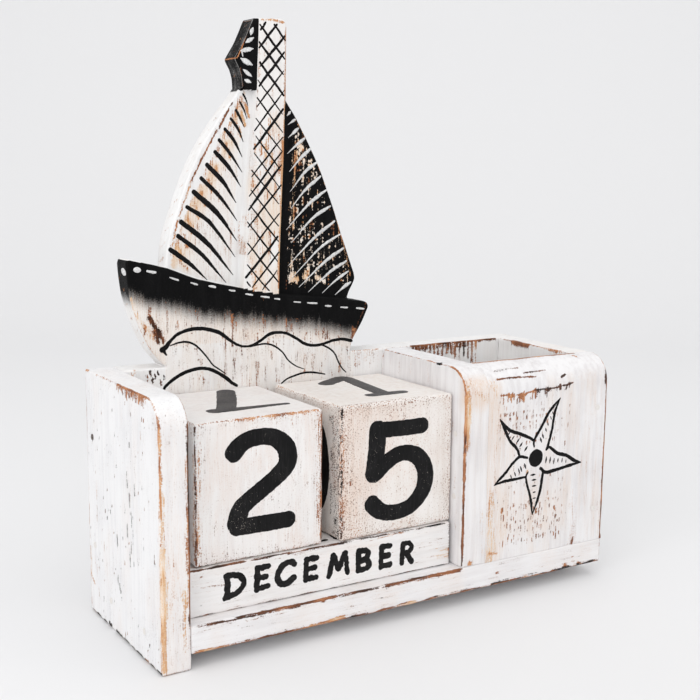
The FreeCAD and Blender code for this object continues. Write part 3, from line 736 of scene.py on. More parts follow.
def fill(ring, offsets, spacing, creases=(), seed=1):
    """A triangle mesh inside a closed outline: points, triangles and, for each outline sample, its point."""
    n = len(ring)
    tang = np.roll(ring, -1, axis=0) - np.roll(ring, 1, axis=0)
    tang /= np.maximum(np.linalg.norm(tang, axis=1)[:, None], 1e-9)
    inward = np.stack([-tang[:, 1], tang[:, 0]], 1)
    pts = [ring]
    edges = [(i, (i + 1) % n) for i in range(n)]
    for o in offsets:
        q = ring + inward * o
        q = q[edge_distance(q, ring) > o * 0.93]
        q = q[inside(ring, q[:, 0], q[:, 1])]
        pts.append(q)
    count = sum(len(p) for p in pts)
    near_lines = []
    for c in creases:
        c = arr(c)
        t = np.gradient(c, axis=0)
        t /= np.maximum(np.linalg.norm(t, axis=1)[:, None], 1e-9)
        nn = np.stack([-t[:, 1], t[:, 0]], 1)
        for o, tied in ((-0.12, True), (0.12, True), (-0.42, False), (0.42, False)):
            q = c + nn * o
            ok = inside(ring, q[:, 0], q[:, 1]) & (edge_distance(q, ring) > 0.28)
            idx = np.where(ok)[0]
            pts.append(q[idx])
            if tied:
                for a in range(len(idx) - 1):
                    if idx[a + 1] - idx[a] == 1:
                        edges.append((count + a, count + a + 1))
            count += len(idx)
        near_lines.append(c)
    for region, s in spacing:
        lo, hi = ring.min(0), ring.max(0)
        q = hexes(lo, hi, s, seed)
        q = q[inside(ring, q[:, 0], q[:, 1])]
        q = q[region(q)]
        last = offsets[-1] if len(offsets) else 0.0
        q = q[edge_distance(q, ring) > last + 0.45 * s]
        if near_lines:
            d = np.full(len(q), 1e9)
            for c in near_lines:
                d = np.minimum(d, to_line(q, c[:: max(1, len(c) // 60)] if len(c) > 60 else c)[0])
            q = q[d > 0.42 + 0.3 * s]
        pts.append(q)
    allp = np.vstack(pts)
    res = delaunay_2d_cdt([Vector((p[0], p[1])) for p in allp.tolist()], edges, [], 1, 1e-5, True)
    V = np.array([(v.x, v.y) for v in res[0]])
    T = np.array([f for f in res[2] if len(f) == 3], dtype=int)
    mid = V[T].mean(1)
    T = T[inside(ring, mid[:, 0], mid[:, 1])]
    where = {}
    for new, olds in enumerate(res[3]):
        for o in olds:
            if o < n:
                where[o] = new
    return V, T, np.array([where[i] for i in range(n)], dtype=int)


def round_off(d, r):
    """How far a surface drops at distance d from an edge rounded by r."""
    k = np.clip(r - d, 0, None)
    return r - np.sqrt(np.maximum(r * r - k * k, 0))


def plate(ring, front, back, r_front, r_back, spacing_front, spacing_back, creases=(), rows=0.8, flip=False, seed=1):
    """Returns points (u, v, w), faces and a tag per point (0 front, 1 side, 2 back) of a plate with rounded edges. front and back give w at (u, v)."""
    Vf, Tf, Ef = fill(ring, [0.14, 0.34, 0.62], spacing_front, creases, seed)
    Vb, Tb, Eb = fill(ring, [0.3, 0.8, 1.5, 2.3], spacing_back, (), seed + 1)
    df, db = edge_distance(Vf, ring), edge_distance(Vb, ring)
    df[Ef] = 0
    db[Eb] = 0
    wf = front(Vf) + round_off(df, r_front(Vf))
    wb = back(Vb) - round_off(db, r_back(Vb))
    P = [np.column_stack([Vf, wf]), np.column_stack([Vb, wb])]
    tag = [np.zeros(len(Vf)), np.full(len(Vb), 2.0)]
    F = [tuple(t) for t in (Tf[:, ::-1] if flip else Tf).tolist()]
    base = len(Vf)
    F += [tuple(base + np.array(t)) for t in (Tb if flip else Tb[:, ::-1]).tolist()]
    n = len(ring)
    a, b = wf[Ef], wb[Eb]
    m = max(2, int(round((b - a).mean() / rows)))
    prev = Ef.copy()
    count = len(Vf) + len(Vb)
    for k in range(1, m + 1):
        if k == m:
            cur = base + Eb
        else:
            t = k / m
            P.append(np.column_stack([ring, a + (b - a) * t]))
            tag.append(np.ones(n))
            cur = count + np.arange(n)
            count += n
        for i in range(n):
            j = (i + 1) % n
            q = (int(prev[i]), int(cur[i]), int(cur[j]), int(prev[j]))
            F.append(q[::-1] if flip else q)
        prev = cur
    return np.vstack(P), F, np.concatenate(tag)


# the base board: a floor with a notch at its right rear
ring = resample([(9.5, 0), (174.2, 0), (174.65, 0.12), (174.88, 0.35), (175, 0.8), (175, 11), (166, 11), (166, 52), (9.5, 52)], 0.8)
P, F, tag = plate(
    ring, lambda q: np.full(len(q), 4.8), lambda q: np.full(len(q), 13.7),
    lambda q: np.full(len(q), 0.7), lambda q: 0.5 - 0.4 * smooth(108, 111, q[:, 0]),
    [(lambda q: np.ones(len(q), bool), 1.9)], [(lambda q: np.ones(len(q), bool), 1.9)], rows=0.7, flip=True, seed=4)
V = P
L = []
top = [(11.6, 0, 13.6), (25, 0, 13.3), (45, 0, 13.6), (63, 0, 13.4), (80, 0, 13.6), (96, 0, 13.5), (109.4, 0, 13.7)]
L += [(top, 0.95, 0.82, 0.74, 0.85)]
for x0, x1, tn in [(24, 34, 0.8), (34, 46, 0.7), (79, 95, 0.72), (97, 109.5, 0.62), (52, 60, 0.55)]:
    L += [([(x0, 0, 13.3), (x1, 0, 13.4)], 1.2, 0.93, tn, 0.6)]
L += [([(12, 0, 12.0), (26, 0, 12.2)], 0.6, 0.55, 0.5, 0.9), ([(28, 0, 11.9), (46, 0, 12.2)], 0.6, 0.62, 0.6, 0.9), ([(84, 0, 12.4), (108, 0, 12.5)], 0.6, 0.55, 0.55, 0.9)]
L += [([(9.5, 0, 5.0), (60, 0, 5.0), (120, 0, 5.0), (174, 0, 5.0)], 0.95, 0.84, 0.5, 0.7)]
for x0, x1, tn, z in [(12, 20, 0.3, 4.9), (38, 48, 0.7, 5.0), (50, 63, 0.3, 5.6), (66, 72, 0.8, 5.0), (84, 91, 0.3, 5.2), (96, 101, 0.75, 5.0), (110, 118, 0.8, 5.0), (124, 131, 0.9, 5.0), (134, 137, 0.95, 5.0), (139, 147, 0.85, 5.0), (153, 160, 0.92, 5.0), (164, 171, 0.9, 5.0)]:
    L += [([(x0, 0, z), (x1, 0, z)], 1.5, 0.82, tn, 0.7)]
g = np.random.default_rng(31)
for k in range(60):
    x, z, ln = g.uniform(12, 172), g.uniform(6.2, 12.6), g.uniform(2, 9)
    L += [([(x, 0, z), (min(174, x + ln), 0, z + g.uniform(-0.2, 0.25))], 0.34, g.uniform(0.28, 0.44), g.uniform(0.4, 0.75), 0.8)]
L += [([(125.0, 0, 9.2), (126.4, 0, 9.2)], 0.8, 0.8, 0.42, 0.5), ([(157.0, 0, 6.6), (158.4, 0, 6.2)], 0.9, 0.8, 0.42, 0.5), ([(164.0, 0, 6.4), (164.4, 0, 6.0)], 0.9, 0.85, 0.42, 0.5), ([(161, 0, 9), (162, 0, 6)], 1.2, 0.5, 0.4, 0.6)]
L += [([(175, 0, 13), (175, 0, 5)], 0.8, 0.85, 0.5, 0.6), ([(175, 0, 5), (175, 11, 5)], 0.9, 0.7, 0.6, 0.6)]
V3 = V[:, [0, 1, 2]]
finish_board("base_board_painted", "base_board", V3, F, "case", M_BASE, L, base=0.06, dim=BRADS["base"], inward=(0, 0, 1))

# the plank with the boat
STEM, STERN = (24.6, 83.0), (96.4, 83.0)


def chain(*parts):
    out = []
    for p in parts:
        for q in arr(p).tolist():
            if not out or math.hypot(q[0] - out[-1][0], q[1] - out[-1][1]) > 1e-6:
                out.append(q)
    return arr(out)


def sp(*pts):
    p3 = np.column_stack([arr(pts), np.zeros(len(pts))])
    return spline(p3, 0.6)[:, :2]


RIGHT_SAIL_EDGE = sp((98.6, 111.6), (96.9, 116.0), (95.2, 120.6), (93.4, 125.2), (91.3, 130.8), (89.2, 136.5), (87.0, 142.0), (84.7, 147.7), (82.4, 152.4), (80.2, 156.6), (78.0, 160.6), (74.6, 166.6), (72.2, 170.0), (69.75, 173.6))
PENNANT_EDGE = sp((57.7, 198.2), (55.8, 194.0), (54.2, 190.6), (52.4, 187.6), (50.8, 184.9))
LEFT_SAIL_EDGE = sp((51.4, 172.4), (47.8, 168.3), (45.5, 165.3), (43.0, 161.9), (40.4, 158.1), (38.2, 154.6), (36.3, 151.2), (34.5, 147.5), (33.0, 143.8), (31.5, 139.9), (30.0, 135.8), (28.6, 131.8), (27.4, 128.3), (26.5, 124.9), (25.8, 121.0), (25.4, 116.1))
BOW_EDGE = sp((11.1, 117.6), (11.3, 114.5), (11.8, 110.4), (12.5, 106.2), (13.4, 102.8), (14.4, 99.6), (15.7, 96.2), (17.1, 93.1), (18.5, 90.4), (20.2, 87.7), (22.3, 85.2), STEM)
outline = chain(
    [(9.5, 4.8), (166, 4.8), (166, 83), STERN],
    sp(STERN, (97.4, 86.8), (99.7, 90.6), (101.9, 94.2), (103.5, 97.4)),
    sp((103.5, 97.4), (104.1, 99.0), (103.5, 100.4), (102.0, 101.1)),
    [(95.7, 102.1)],
    sp((95.7, 102.1), (96.6, 104.8), (97.9, 107.1)),
    sp((97.9, 107.1), (98.85, 109.4), (98.6, 111.6)),
    RIGHT_SAIL_EDGE,
    [(70.0, 196.6)],
    sp((70.0, 196.6), (69.4, 198.2), (67.6, 198.8)),
    PENNANT_EDGE,
    [(52.6, 181.6)],
    sp((52.6, 181.6), (53.4, 178.8), (53.7, 175.6)),
    LEFT_SAIL_EDGE,
    sp((25.4, 116.1), (19.3, 117.6), (12.4, 119.3)),
    [(11.4, 118.9), (11.1, 117.6)],
    BOW_EDGE,
    [(9.5, 83), (9.5, 4.8)],
)[:-1]
RING = resample(outline, 0.62)

HULL_TOP = arr([(11.1, 119.2), (19.3, 117.6), (25.4, 116.05), (33.4, 113.0), (37.0, 111.8), (44.3, 110.0), (53.0, 108.1), (60.3, 106.5), (67.0, 105.3), (75.4, 104.3), (95.7, 102.1), (104.0, 100.8)])
MAST_L = arr([(59.4, 197.9), (58.6, 176.5), (58.2, 171.5), (56.2, 155.0), (55.1, 141.5), (53.8, 123.0), (53.0, 108.1)])
MAST_R = arr([(70.0, 196.8), (69.8, 176.0), (69.3, 168.6), (68.9, 155.1), (68.1, 138.1), (67.4, 120.9), (67.0, 105.3)])
SAIL_L = arr([(25.4, 116.05), (33.4, 113.0), (37.0, 111.8), (44.3, 110.0), (53.0, 108.1), (53.8, 123.0), (55.1, 141.5), (56.2, 155.0), (58.2, 171.5), (58.4, 175.0), (56.0, 174.9), (53.7, 175.6), (50.0, 178.0), (30.0, 152.0), (14.0, 121.5)])
SAIL_R = arr([(67.0, 105.3), (75.4, 104.3), (95.7, 102.1), (104.0, 104.0), (104.0, 120.0), (86.0, 160.0), (76.0, 176.0), (69.8, 176.0), (69.3, 168.6), (68.9, 155.1), (68.1, 138.1), (67.4, 120.9)])


def tilt(a, b, c, q):
    ux, uz, ud = b[0] - a[0], b[1] - a[1], b[2] - a[2]
    vx, vz, vd = c[0] - a[0], c[1] - a[1], c[2] - a[2]
    det = ux * vz - uz * vx
    gx, gz = (ud * vz - uz * vd) / det, (ux * vd - ud * vx) / det
    return a[2] + gx * (q[:, 0] - a[0]) + gz * (q[:, 1] - a[1])


def plank_front(q):
    """y of the front of the plank at (x, z)."""
    y = np.full(len(q), BACK)
    m = inside(SAIL_L, q[:, 0], q[:, 1])
    y[m] += tilt((25.5, 117.0, 1.4), (56.0, 175.0, 2.6), (53.0, 110.0, 4.0), q)[m]
    m = inside(SAIL_R, q[:, 0], q[:, 1])
    y[m] += tilt((98.5, 110.0, 1.2), (69.5, 172.0, 2.2), (67.0, 106.0, 3.2), q)[m]
    return y


def dense(line, step=0.45):
    line = arr(line)
    out = [line[0]]
    for a, b in zip(line[:-1], line[1:]):
        n = max(1, int(round(np.linalg.norm(b - a) / step)))
        out += [a + (b - a) * (k / n) for k in range(1, n + 1)]
    return arr(out)


CREASES = [dense(SAIL_L[[0, 1, 2, 3, 4]]), dense(SAIL_L[[4, 5, 6, 7, 8, 9]]), dense(SAIL_L[[9, 10, 11]]), dense(SAIL_R[[0, 1, 2]]), dense(SAIL_R[[7, 8, 9, 10, 11, 0]]), dense(MAST_L[[0, 1]] + [[-0.1, 0], [0, -1.0]])]


def boat_zone(q):
    return q[:, 1] > 70


P, F, tag = plate(
    RING, plank_front, lambda q: np.full(len(q), 62.5),
    lambda q: np.where(q[:, 1] > 84, 0.62, 0.55) * (0.8 + 0.4 * noise(np.column_stack([q, q[:, 0]]), 6.0, 8)),
    lambda q: np.where(q[:, 1] > 84, 2.2, 0.7),
    [(boat_zone, 0.72), (lambda q: q[:, 1] <= 70, 2.0)],
    [(boat_zone, 1.4), (lambda q: q[:, 1] <= 70, 2.6)],
    creases=CREASES, rows=0.85, seed=6)
PLANK = P[:, [0, 2, 1]]
PLANK_F, PLANK_TAG = F, tag


# ---------------------------------------------------------------- the plank's paint
def plank_surface(q, lift=0.0):
    """Points on the finished front of the plank at (x, z), lifted towards the viewer."""
    q = arr(q)
    y = plank_front(q)
    d = edge_distance(q, RING)
    r = np.where(q[:, 1] > 84, 0.62, 0.55) * (0.8 + 0.4 * noise(np.column_stack([q, q[:, 0]]), 6.0, 8))
    y = y + round_off(d, r)
    p = np.column_stack([q[:, 0], y, q[:, 1]])
    p = p + wobble(p)
    p[:, 1] -= lift
    return p


def at(line, v, axis=1):
    """x of a rising or falling line at height v (axis 1), or its height at x (axis 0)."""
    line = arr(line)
    o = np.argsort(line[:, axis])
    return np.interp(v, line[o, axis], line[o, 1 - axis])


X, Y, Z = PLANK[:, 0], PLANK[:, 1], PLANK[:, 2]
Q2 = np.column_stack([X, Z])
BAND_LOW = arr([(9, 110.4), (11.9, 109.6), (19.1, 106.9), (26.1, 105.6), (36.9, 102.6), (55.6, 99.8), (75.4, 96.9), (92.0, 94.1), (98.4, 92.2), (105, 91.0)])
FADE_END = arr([(9, 104.6), (11.8, 103.6), (19.0, 101.2), (26.0, 99.0), (36.8, 95.7), (55.6, 92.5), (75.4, 90.4), (92.1, 86.6), (97.2, 84.9), (105, 83.5)])
top_z = at(HULL_TOP, X, 0)
band_z = at(BAND_LOW, X, 0)
fade_z = at(FADE_END, X, 0)
in_hull = (Z > 83.5) & (Z < top_z + 0.02)
mast_l, mast_r = at(MAST_L, Z), at(MAST_R, Z)
pennant = (Z > 174.7 + 1.2 * (fbm(np.column_stack([X, Y * 0.3, Z * 0.3]), (1.2, 9, 9), 93) - 0.5)) & (X < mast_l)
sail_r = (X > mast_r) & (Z >= top_z - 0.02) & (Z < 177)
sail_l = (X < mast_l) & (Z >= top_z - 0.02) & (Z < 176)
mast = (X >= mast_l) & (X <= mast_r) & (Z >= top_z)
front_side = PLANK_TAG == 0
black = np.zeros(len(X))
black[pennant | sail_r] = 1
ragged = (fbm(np.column_stack([X, Y * 0.3, Z]), (1.6, 9, 6), 91) - 0.5) * 2.6
black[in_hull & (Z > band_z + 2.6 + ragged)] = 1
smoke = np.where(in_hull, smooth(0, 1, (Z - fade_z + 2.4) / np.maximum(band_z + 5.4 - fade_z, 0.5)), 0.0)
# the bow's side goes to white sooner, and the back is only edged with black
side = PLANK_TAG == 1
bow = side & (X < 30) & in_hull
black[bow] = (Z[bow] > 108.5 + ragged[bow] * 0.4).astype(float)
smoke[bow] = smooth(100.0, 111.0, Z[bow]) * 0.95
flag = side & pennant & (X < 57.6)
black[flag] = 0
smoke[flag] = 0.68 + 0.24 * noise(PLANK[flag] * arr([1, 0.25, 1]), (1.2, 1.2, 5), 97)
back = PLANK_TAG == 2
db = edge_distance(Q2[back], RING)
lip = np.zeros(len(X))
lip[back] = 1 - smooth(0.6, 1.8, db + (fbm(PLANK[back], 3.0, 95) - 0.5) * 1.4)
black[back] *= lip[back]
smoke[back] = np.where(black[back] > 0.02, black[back] * 0.9, smoke[back] * lip[back])
black[back] = black[back] > 0.6

F2 = []  # strokes on the front, in (x, 0, z)


def f2(points, r, s, t, b=0.5):
    F2.append(([(p[0], 0.0, p[1]) for p in points], r, s, t, b))


g = np.random.default_rng(44)
# left sail: rubbed field inside a smooth border
for p, r, s, t in [([(54.2, 172.0), (50.6, 165.4), (45.8, 157.2)], 1.7, 0.62, 0.34), ([(45.6, 156.0), (40.6, 147.6), (35.2, 137.6)], 1.6, 0.55, 0.36), ([(34.9, 136.6), (31.2, 128.6), (28.0, 120.5)], 1.3, 0.6, 0.3),
                   ([(51.5, 167.0), (50.4, 160.0)], 1.8, 0.5, 0.34), ([(48.4, 160), (47.6, 152)], 1.6, 0.46, 0.4), ([(50.5, 123.5), (50.9, 131.0)], 1.6, 0.45, 0.4), ([(53.2, 130.8), (53.6, 120)], 1.0, 0.55, 0.34),
                   ([(29.5, 118.6), (33.5, 115.4)], 1.2, 0.62, 0.36), ([(38.2, 114.6), (42.5, 112.0)], 0.9, 0.42, 0.4), ([(36.6, 131), (36.2, 124)], 1.4, 0.42, 0.36), ([(39.8, 139), (39.4, 130)], 1.4, 0.42, 0.4), ([(45.3, 146), (45.1, 138)], 1.4, 0.42, 0.4)]:
    f2(p, r, s, t, 0.7)
# brown line where the sail's front meets its rounded side
f2([(50.6, 170.4), (48.2, 166.6), (43.4, 159.2), (38.6, 151.6), (35.0, 144.6)], 0.62, 0.95, 0.52, 0.4)
f2([(35.0, 144.6), (31.8, 136.6), (29.2, 129.2), (27.2, 121.6)], 0.6, 0.86, 0.34, 0.5)
# mast
for k in range(52):
    z = g.uniform(107, 166)
    x = g.uniform(at(MAST_L, z) + 0.6, at(MAST_R, z) - 0.4)
    f2([(x, z), (x + g.uniform(-0.3, 0.3), z - g.uniform(2.5, 7))], g.uniform(0.7, 1.3), g.uniform(0.46, 0.72), g.uniform(0.26, 0.46), 0.7)
for k in range(14):
    z = g.uniform(166, 197)
    x = g.uniform(at(MAST_L, z) + 0.6, at(MAST_R, z) - 0.4)
    f2([(x, z), (x, z - g.uniform(2, 5))], 0.8, g.uniform(0.36, 0.52), g.uniform(0.2, 0.4), 0.7)
f2([(69.7, 196.0), (69.3, 172.0), (68.8, 155.0)], 0.7, 0.72, 0.34, 0.5)
f2([(68.5, 158.0), (67.8, 138.0), (66.9, 108.0)], 0.95, 0.86, 0.3, 0.5)
f2([(59.7, 192.0), (59.2, 179.0)], 0.5, 0.6, 0.3, 0.7)
for x, z in [(55.2, 170.6), (53.8, 167.6), (52.2, 164.2), (50.4, 160.8), (47.9, 157.0), (45.6, 153.2), (43.8, 149.6), (41.0, 145.4), (38.4, 141.2), (36.0, 136.8), (33.6, 132.2), (31.6, 127.4), (29.6, 123.0)]:
    f2([(x + 0.2, z - 0.4), (x + 1.0, z - 2.2), (x + 1.6, z - 4.6)], 1.15, g.uniform(0.66, 0.82), g.uniform(0.26, 0.38), 0.6)
f2([(58.8, 174.8), (58.4, 168.0)], 0.5, 0.5, 0.5, 0.8)
f2([(60.5, 197.9), (64.0, 198.2), (69.0, 197.6)], 0.8, 0.7, 0.36, 0.6)
# pennant: a brown ridge along its outer edge
f2([(57.0, 197.2), (55.1, 193.0), (53.2, 188.5), (51.5, 185.3)], 0.34, 0.95, 0.5, 0.5)
f2([(52.6, 182.0), (53.2, 179.0), (53.6, 175.8)], 0.3, 0.7, 0.7, 0.5)
f2([(53.6, 187.4), (55.0, 187.6)], 0.8, 0.55, 0.9, 0.8)
# right sail: rubbed through to light wood in its field
for p, r, s, t in [([(75.1, 165.5), (82.2, 153.6), (89.1, 137.9), (94.6, 120.0), (96.9, 110.8)], 1.0, 0.66, 0.3),
                   ([(92.2, 131.5), (94.4, 123.5)], 1.3, 0.72, 0.28), ([(79.2, 160.5), (76.0, 158.0)], 1.5, 0.66, 0.34),
                   ([(74.1, 112.2), (73.2, 110.2), (75.8, 109.9)], 1.9, 0.93, 0.03), ([(78.5, 110.6), (80.4, 109.5)], 1.2, 0.74, 0.06), ([(83.4, 110.6), (86.4, 109.0)], 1.3, 0.74, 0.06), ([(73.6, 120.5), (73.4, 114.5)], 1.0, 0.72, 0.12),
                   ([(74.6, 154.5), (74.3, 143.0), (73.8, 128.0)], 0.9, 0.62, 0.24)]:
    f2(p, r, s, t, 0.7)
for k in range(230):
    z = g.uniform(108.5, 162)
    lo_x, hi_x = at(MAST_R, z) + 4.2, at(arr(RIGHT_SAIL_EDGE), z) - 1.6
    if hi_x > lo_x:
        x = lo_x + (hi_x - lo_x) * g.random() ** 1.15
        if z > 140 and x < lo_x + 0.3 * (hi_x - lo_x):
            continue
        f2([(x, z), (x + g.uniform(-0.35, 0.35), z - g.uniform(0.8, 3.6))], g.uniform(0.24, 0.48), g.uniform(0.6, 0.95), g.uniform(0.62, 0.74) if g.random() < 0.25 else g.uniform(-0.28, 0.0), 0.7)
# hull
f2([(12.4, 106.3), (13.8, 102.3), (15.8, 98.9), (18.2, 96.1), (20.2, 92.6)], 1.5, 0.62, 0.12, 0.6)
f2([(18.9, 100.0), (20.0, 97.6), (22.2, 94.8), (23.5, 91.7)], 1.3, 0.95, 0.76, 0.6)
f2([(20.6, 95.0), (21.6, 91.6)], 1.2, 0.8, 0.72, 0.6)
for x, z0, z1, s in [(18.7, 103.5, 98.5, 0.72), (24.9, 102.5, 95.0, 0.6), (48.8, 99.5, 88.2, 0.8), (53.3, 98.0, 90.0, 0.6), (69.7, 96.0, 91.6, 0.6), (97.2, 92.0, 86.5, 0.72), (83.0, 95.0, 89.0, 0.56), (61.0, 97.0, 92.0, 0.56), (36.0, 101.0, 96.0, 0.56)]:
    f2([(x, z0), (x + 0.2, z1)], 0.75, s, 0.55, 0.7)
for k in range(120):
    x = g.uniform(17, 99)
    z = g.uniform(0.0, 1.0)
    a, b = at(BAND_LOW, x, 0) - 0.5, 88.5
    z = b + (a - b) * z
    f2([(x, z), (x + g.uniform(-0.25, 0.25), z - g.uniform(0.8, 3.4))], g.uniform(0.35, 0.65), g.uniform(0.42, 0.74), g.uniform(0.42, 0.72), 0.7)
f2([(103.1, 100.4), (100.5, 95.0), (97.2, 87.1)], 0.6, 0.7, 0.62, 0.6)
f2([(98.0, 91.5), (97.0, 87.5)], 1.0, 0.7, 0.6, 0.7)

# water and the board behind the cubes
for x, z0, z1 in [(46.0, 89, 78), (52.4, 81, 74), (54.4, 81, 74), (58.3, 82, 74), (77.5, 83, 77), (80.8, 83, 76), (92.1, 82, 76), (61.5, 80, 75), (66.0, 79, 74.5), (71.5, 80, 75), (37.5, 80, 75), (33.0, 79, 75), (49.5, 84, 77)]:
    f2([(x, z0), (x + 0.2, (z0 + z1) / 2), (x, z1)], 1.15, 0.56, 0.52, 0.7)
for k in range(110):
    x, z = g.uniform(26, 97), g.uniform(72, 89)
    f2([(x, z), (x + g.uniform(-0.2, 0.2), z - g.uniform(0.8, 3.2))], g.uniform(0.35, 0.7), g.uniform(0.36, 0.62), g.uniform(0.4, 0.66), 0.7)
for x, z, t in [(18.6, 82.3, 0.97), (19.3, 79.9, 0.97), (21.4, 82.1, 0.97), (23.5, 80.2, 0.9), (20.4, 81.0, 0.9), (22.3, 78.6, 0.8), (13.4, 83.1, 0.35), (12.3, 82.2, 0.35), (17.6, 80.6, 0.6)]:
    f2([(x, z), (x + 0.2, z - 1.3)], 0.62, 0.9, t, 0.5)
for x in np.arange(98.5, 109.8, 1.0):
    f2([(x, 82.5), (x + 0.1, 82.5 - g.uniform(2.5, 7))], 0.65, g.uniform(0.36, 0.6), g.uniform(0.3, 0.55), 0.7)
f2([(97.5, 83.0), (109, 83.0)], 0.6, 0.55, 0.4, 0.8)
# the wall of the pen cup
drips = [(124.2, 78.5), (126.0, 79.4), (127.7, 79.2), (129.8, 77.6), (132.4, 77.4), (134.4, 79.4), (136.2, 78.2), (138.2, 76.4), (140.6, 79.0), (142.6, 78.2), (144.3, 77.2), (146.5, 79.6), (148.8, 77.4), (150.7, 76.4), (152.8, 74.9), (154.4, 80.0)]
f2([(124, 82.9), (138, 82.9), (152, 82.9), (164, 83.0)], 1.0, 0.93, 0.62, 0.5)
f2([(126, 81.6), (138, 81.6), (151, 81.4)], 1.5, 0.8, 0.6, 0.7)
for x, z in drips:
    f2([(x, 83), (x + g.uniform(-0.2, 0.2), z)], 0.95, g.uniform(0.74, 0.95), g.uniform(0.5, 0.78), 0.6)
for k in range(30):
    x = g.uniform(122, 156)
    f2([(x, g.uniform(76, 82)), (x, g.uniform(64, 76))], 0.7, g.uniform(0.4, 0.56), g.uniform(0.45, 0.7), 0.7)

FP = np.column_stack([X, np.zeros(len(X)), Z])
wf_, tf_ = wear_from(FP, F2)
S3 = [([(x_, 52.0, z_) for x_, z_ in [(48.2, 166.6), (43.4, 159.2), (38.6, 151.6), (35.0, 144.6)]], 0.7, 0.7, 0.6, 0.6)]
back_edge = [(p[0], 62.0, p[1]) for p in outline[::3]]
S3 += [([(11.3, 53.0, 118.0), (11.6, 53.0, 111.0)], 0.5, 0.5, 0.5, 0.7)]
S3 += [([(50.8, 52.4, 184.9), (50.9, 57.0, 184.9), (51.0, 62.0, 184.9)], 0.55, 0.95, 0.5, 0.4)]
S3 += [([(57.2, 53, 197.5), (57.6, 61, 198.0)], 0.6, 0.6, 0.5, 0.6)]
S3 += [([(14.5, 52.8, 99.8), (17.0, 52.8, 93.4), (19.8, 52.8, 88.4)], 0.9, 0.6, 0.26, 0.6)]
S3 += [([(p[0], 56.0, p[1]), (p[0] + 0.1, 59.5, p[1] - 2)], 0.9, 0.5, 0.34, 0.7) for p in outline[40:-10:9]]
S3 += [([(9.5, 62.5, 83), (60, 62.5, 83), (166, 62.5, 83)], 0.9, 0.62, 0.42, 0.7), ([(105, 52, 83), (135, 52, 83), (166, 52, 83)], 0.7, 0.55, 0.5, 0.7), ([(9.5, 62.5, 4.8), (166, 62.5, 4.8)], 0.9, 0.7, 0.6, 0.6)]
ws_, ts_ = wear_from(PLANK, S3)
wear = np.where(front_side, wf_, 0.0)
tone = np.where(front_side, tf_, 0.45)
near_front = side & (Y < 53.0)
wear[near_front] = wf_[near_front] * 0.8
tone[near_front] = tf_[near_front]
tone = np.where(ws_ > wear, ts_, tone)
wear = np.maximum(wear, ws_)
# general dryness by zone
low = 0.06 + 0.13 * fbm(PLANK, 11.0, 61) * (0.4 + fbm(PLANK, (5, 5, 18), 67))
field_r = sail_r & front_side & (X > at(MAST_R, Z) + 4.0) & (Z > top_z + 4.6) & (X < at(arr(RIGHT_SAIL_EDGE), Z) - 1.2)
low = np.where(field_r, 0.19 + 0.10 * noise(PLANK, (3, 3, 8), 83), low)
rim_x = at(arr([(54.6, 173.2), (50.4, 165.1), (45.4, 156.4), (40.1, 147.5), (34.4, 136.6), (30.7, 128.5), (27.7, 120.3), (27.0, 112.0)]), Z)
field_l = sail_l & front_side & (X > rim_x) & (X < at(MAST_L, Z) - 3.1) & (Z > top_z + 0.6)
low = np.where(field_l, 0.19 + 0.12 * noise(PLANK, (3, 3, 8), 84), low)
border_l = sail_l & front_side & ~field_l
low = np.where(border_l, 0.03, low)
low = np.where(mast & front_side, 0.10 + 0.2 * smooth(0.35, 0.7, noise(PLANK, (3, 3, 12), 85)) * (1 - smooth(164, 172, Z)), low)
low = np.where(in_hull & front_side & (Z < band_z), 0.2 + 0.1 * noise(PLANK, (3, 3, 9), 86), low)
low = np.where((in_hull & (Z > band_z)) | pennant | (sail_r & ~field_r), 0.04, low)
water = front_side & (Z < 90) & (Z > 70) & (X > 24) & (X < 98) & ~(smoke > 0.02)
low = np.where(water, np.maximum(low, 0.15 + 0.1 * noise(PLANK, (3, 3, 9), 87)), low)
zone_tone = np.where(field_r, 0.4 * noise(PLANK, 4.0, 88) - 0.25, np.where(field_l | mast, 0.34 + 0.2 * noise(PLANK, 5.0, 88), 0.46 + 0.25 * noise(PLANK, 7.0, 88)))
tone = np.where(wear < low, zone_tone, tone)
wear = np.maximum(wear, low)
thin = 0.02 + 0.1 * smooth(0.35, 0.8, fbm(PLANK, (9, 9, 22), 73))
thin = np.where(mast & front_side, 0.12 + 0.5 * smooth(0.3, 0.75, noise(PLANK, (2.6, 4, 11), 89)) * (1 - smooth(164, 172, Z)), thin)
thin = np.where(field_l, 0.08 + 0.18 * noise(PLANK, (4, 4, 11), 89) + 0.85 * (1 - smooth(1.0, 9.0, X - rim_x)) * smooth(0.3, 0.6, noise(PLANK, (3, 3, 7), 98)), thin)
thin = np.where(border_l, 0.02, thin)
thin = np.where(in_hull & front_side, 0.26 + 0.25 * noise(PLANK, (4, 4, 11), 90), thin)
thin = np.where(water, 0.08 + 0.22 * noise(PLANK, (4, 4, 11), 90), thin)
PP = PLANK + wobble(PLANK)
PP = dimples(PP, BRADS["back"], (0, -1, 0), 0.22)
make("back_board_sailboat_painted", PP, PLANK_F, "case", M_PLANK, {"wear": wear, "tone": tone, "thin": thin, "black": black, "smoke": smoke}, replaces=["back_board_sailboat"])
for n in ("left_panel_brads", "right_panel_brads", "back_board_brads", "divider_brads", "cup_front_brads", "base_brads"):
    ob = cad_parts[n]
    for s_ in ob.material_slots:
        s_.material = M_STEEL
    if not ob.material_slots:
        ob.data.materials.append(M_STEEL)


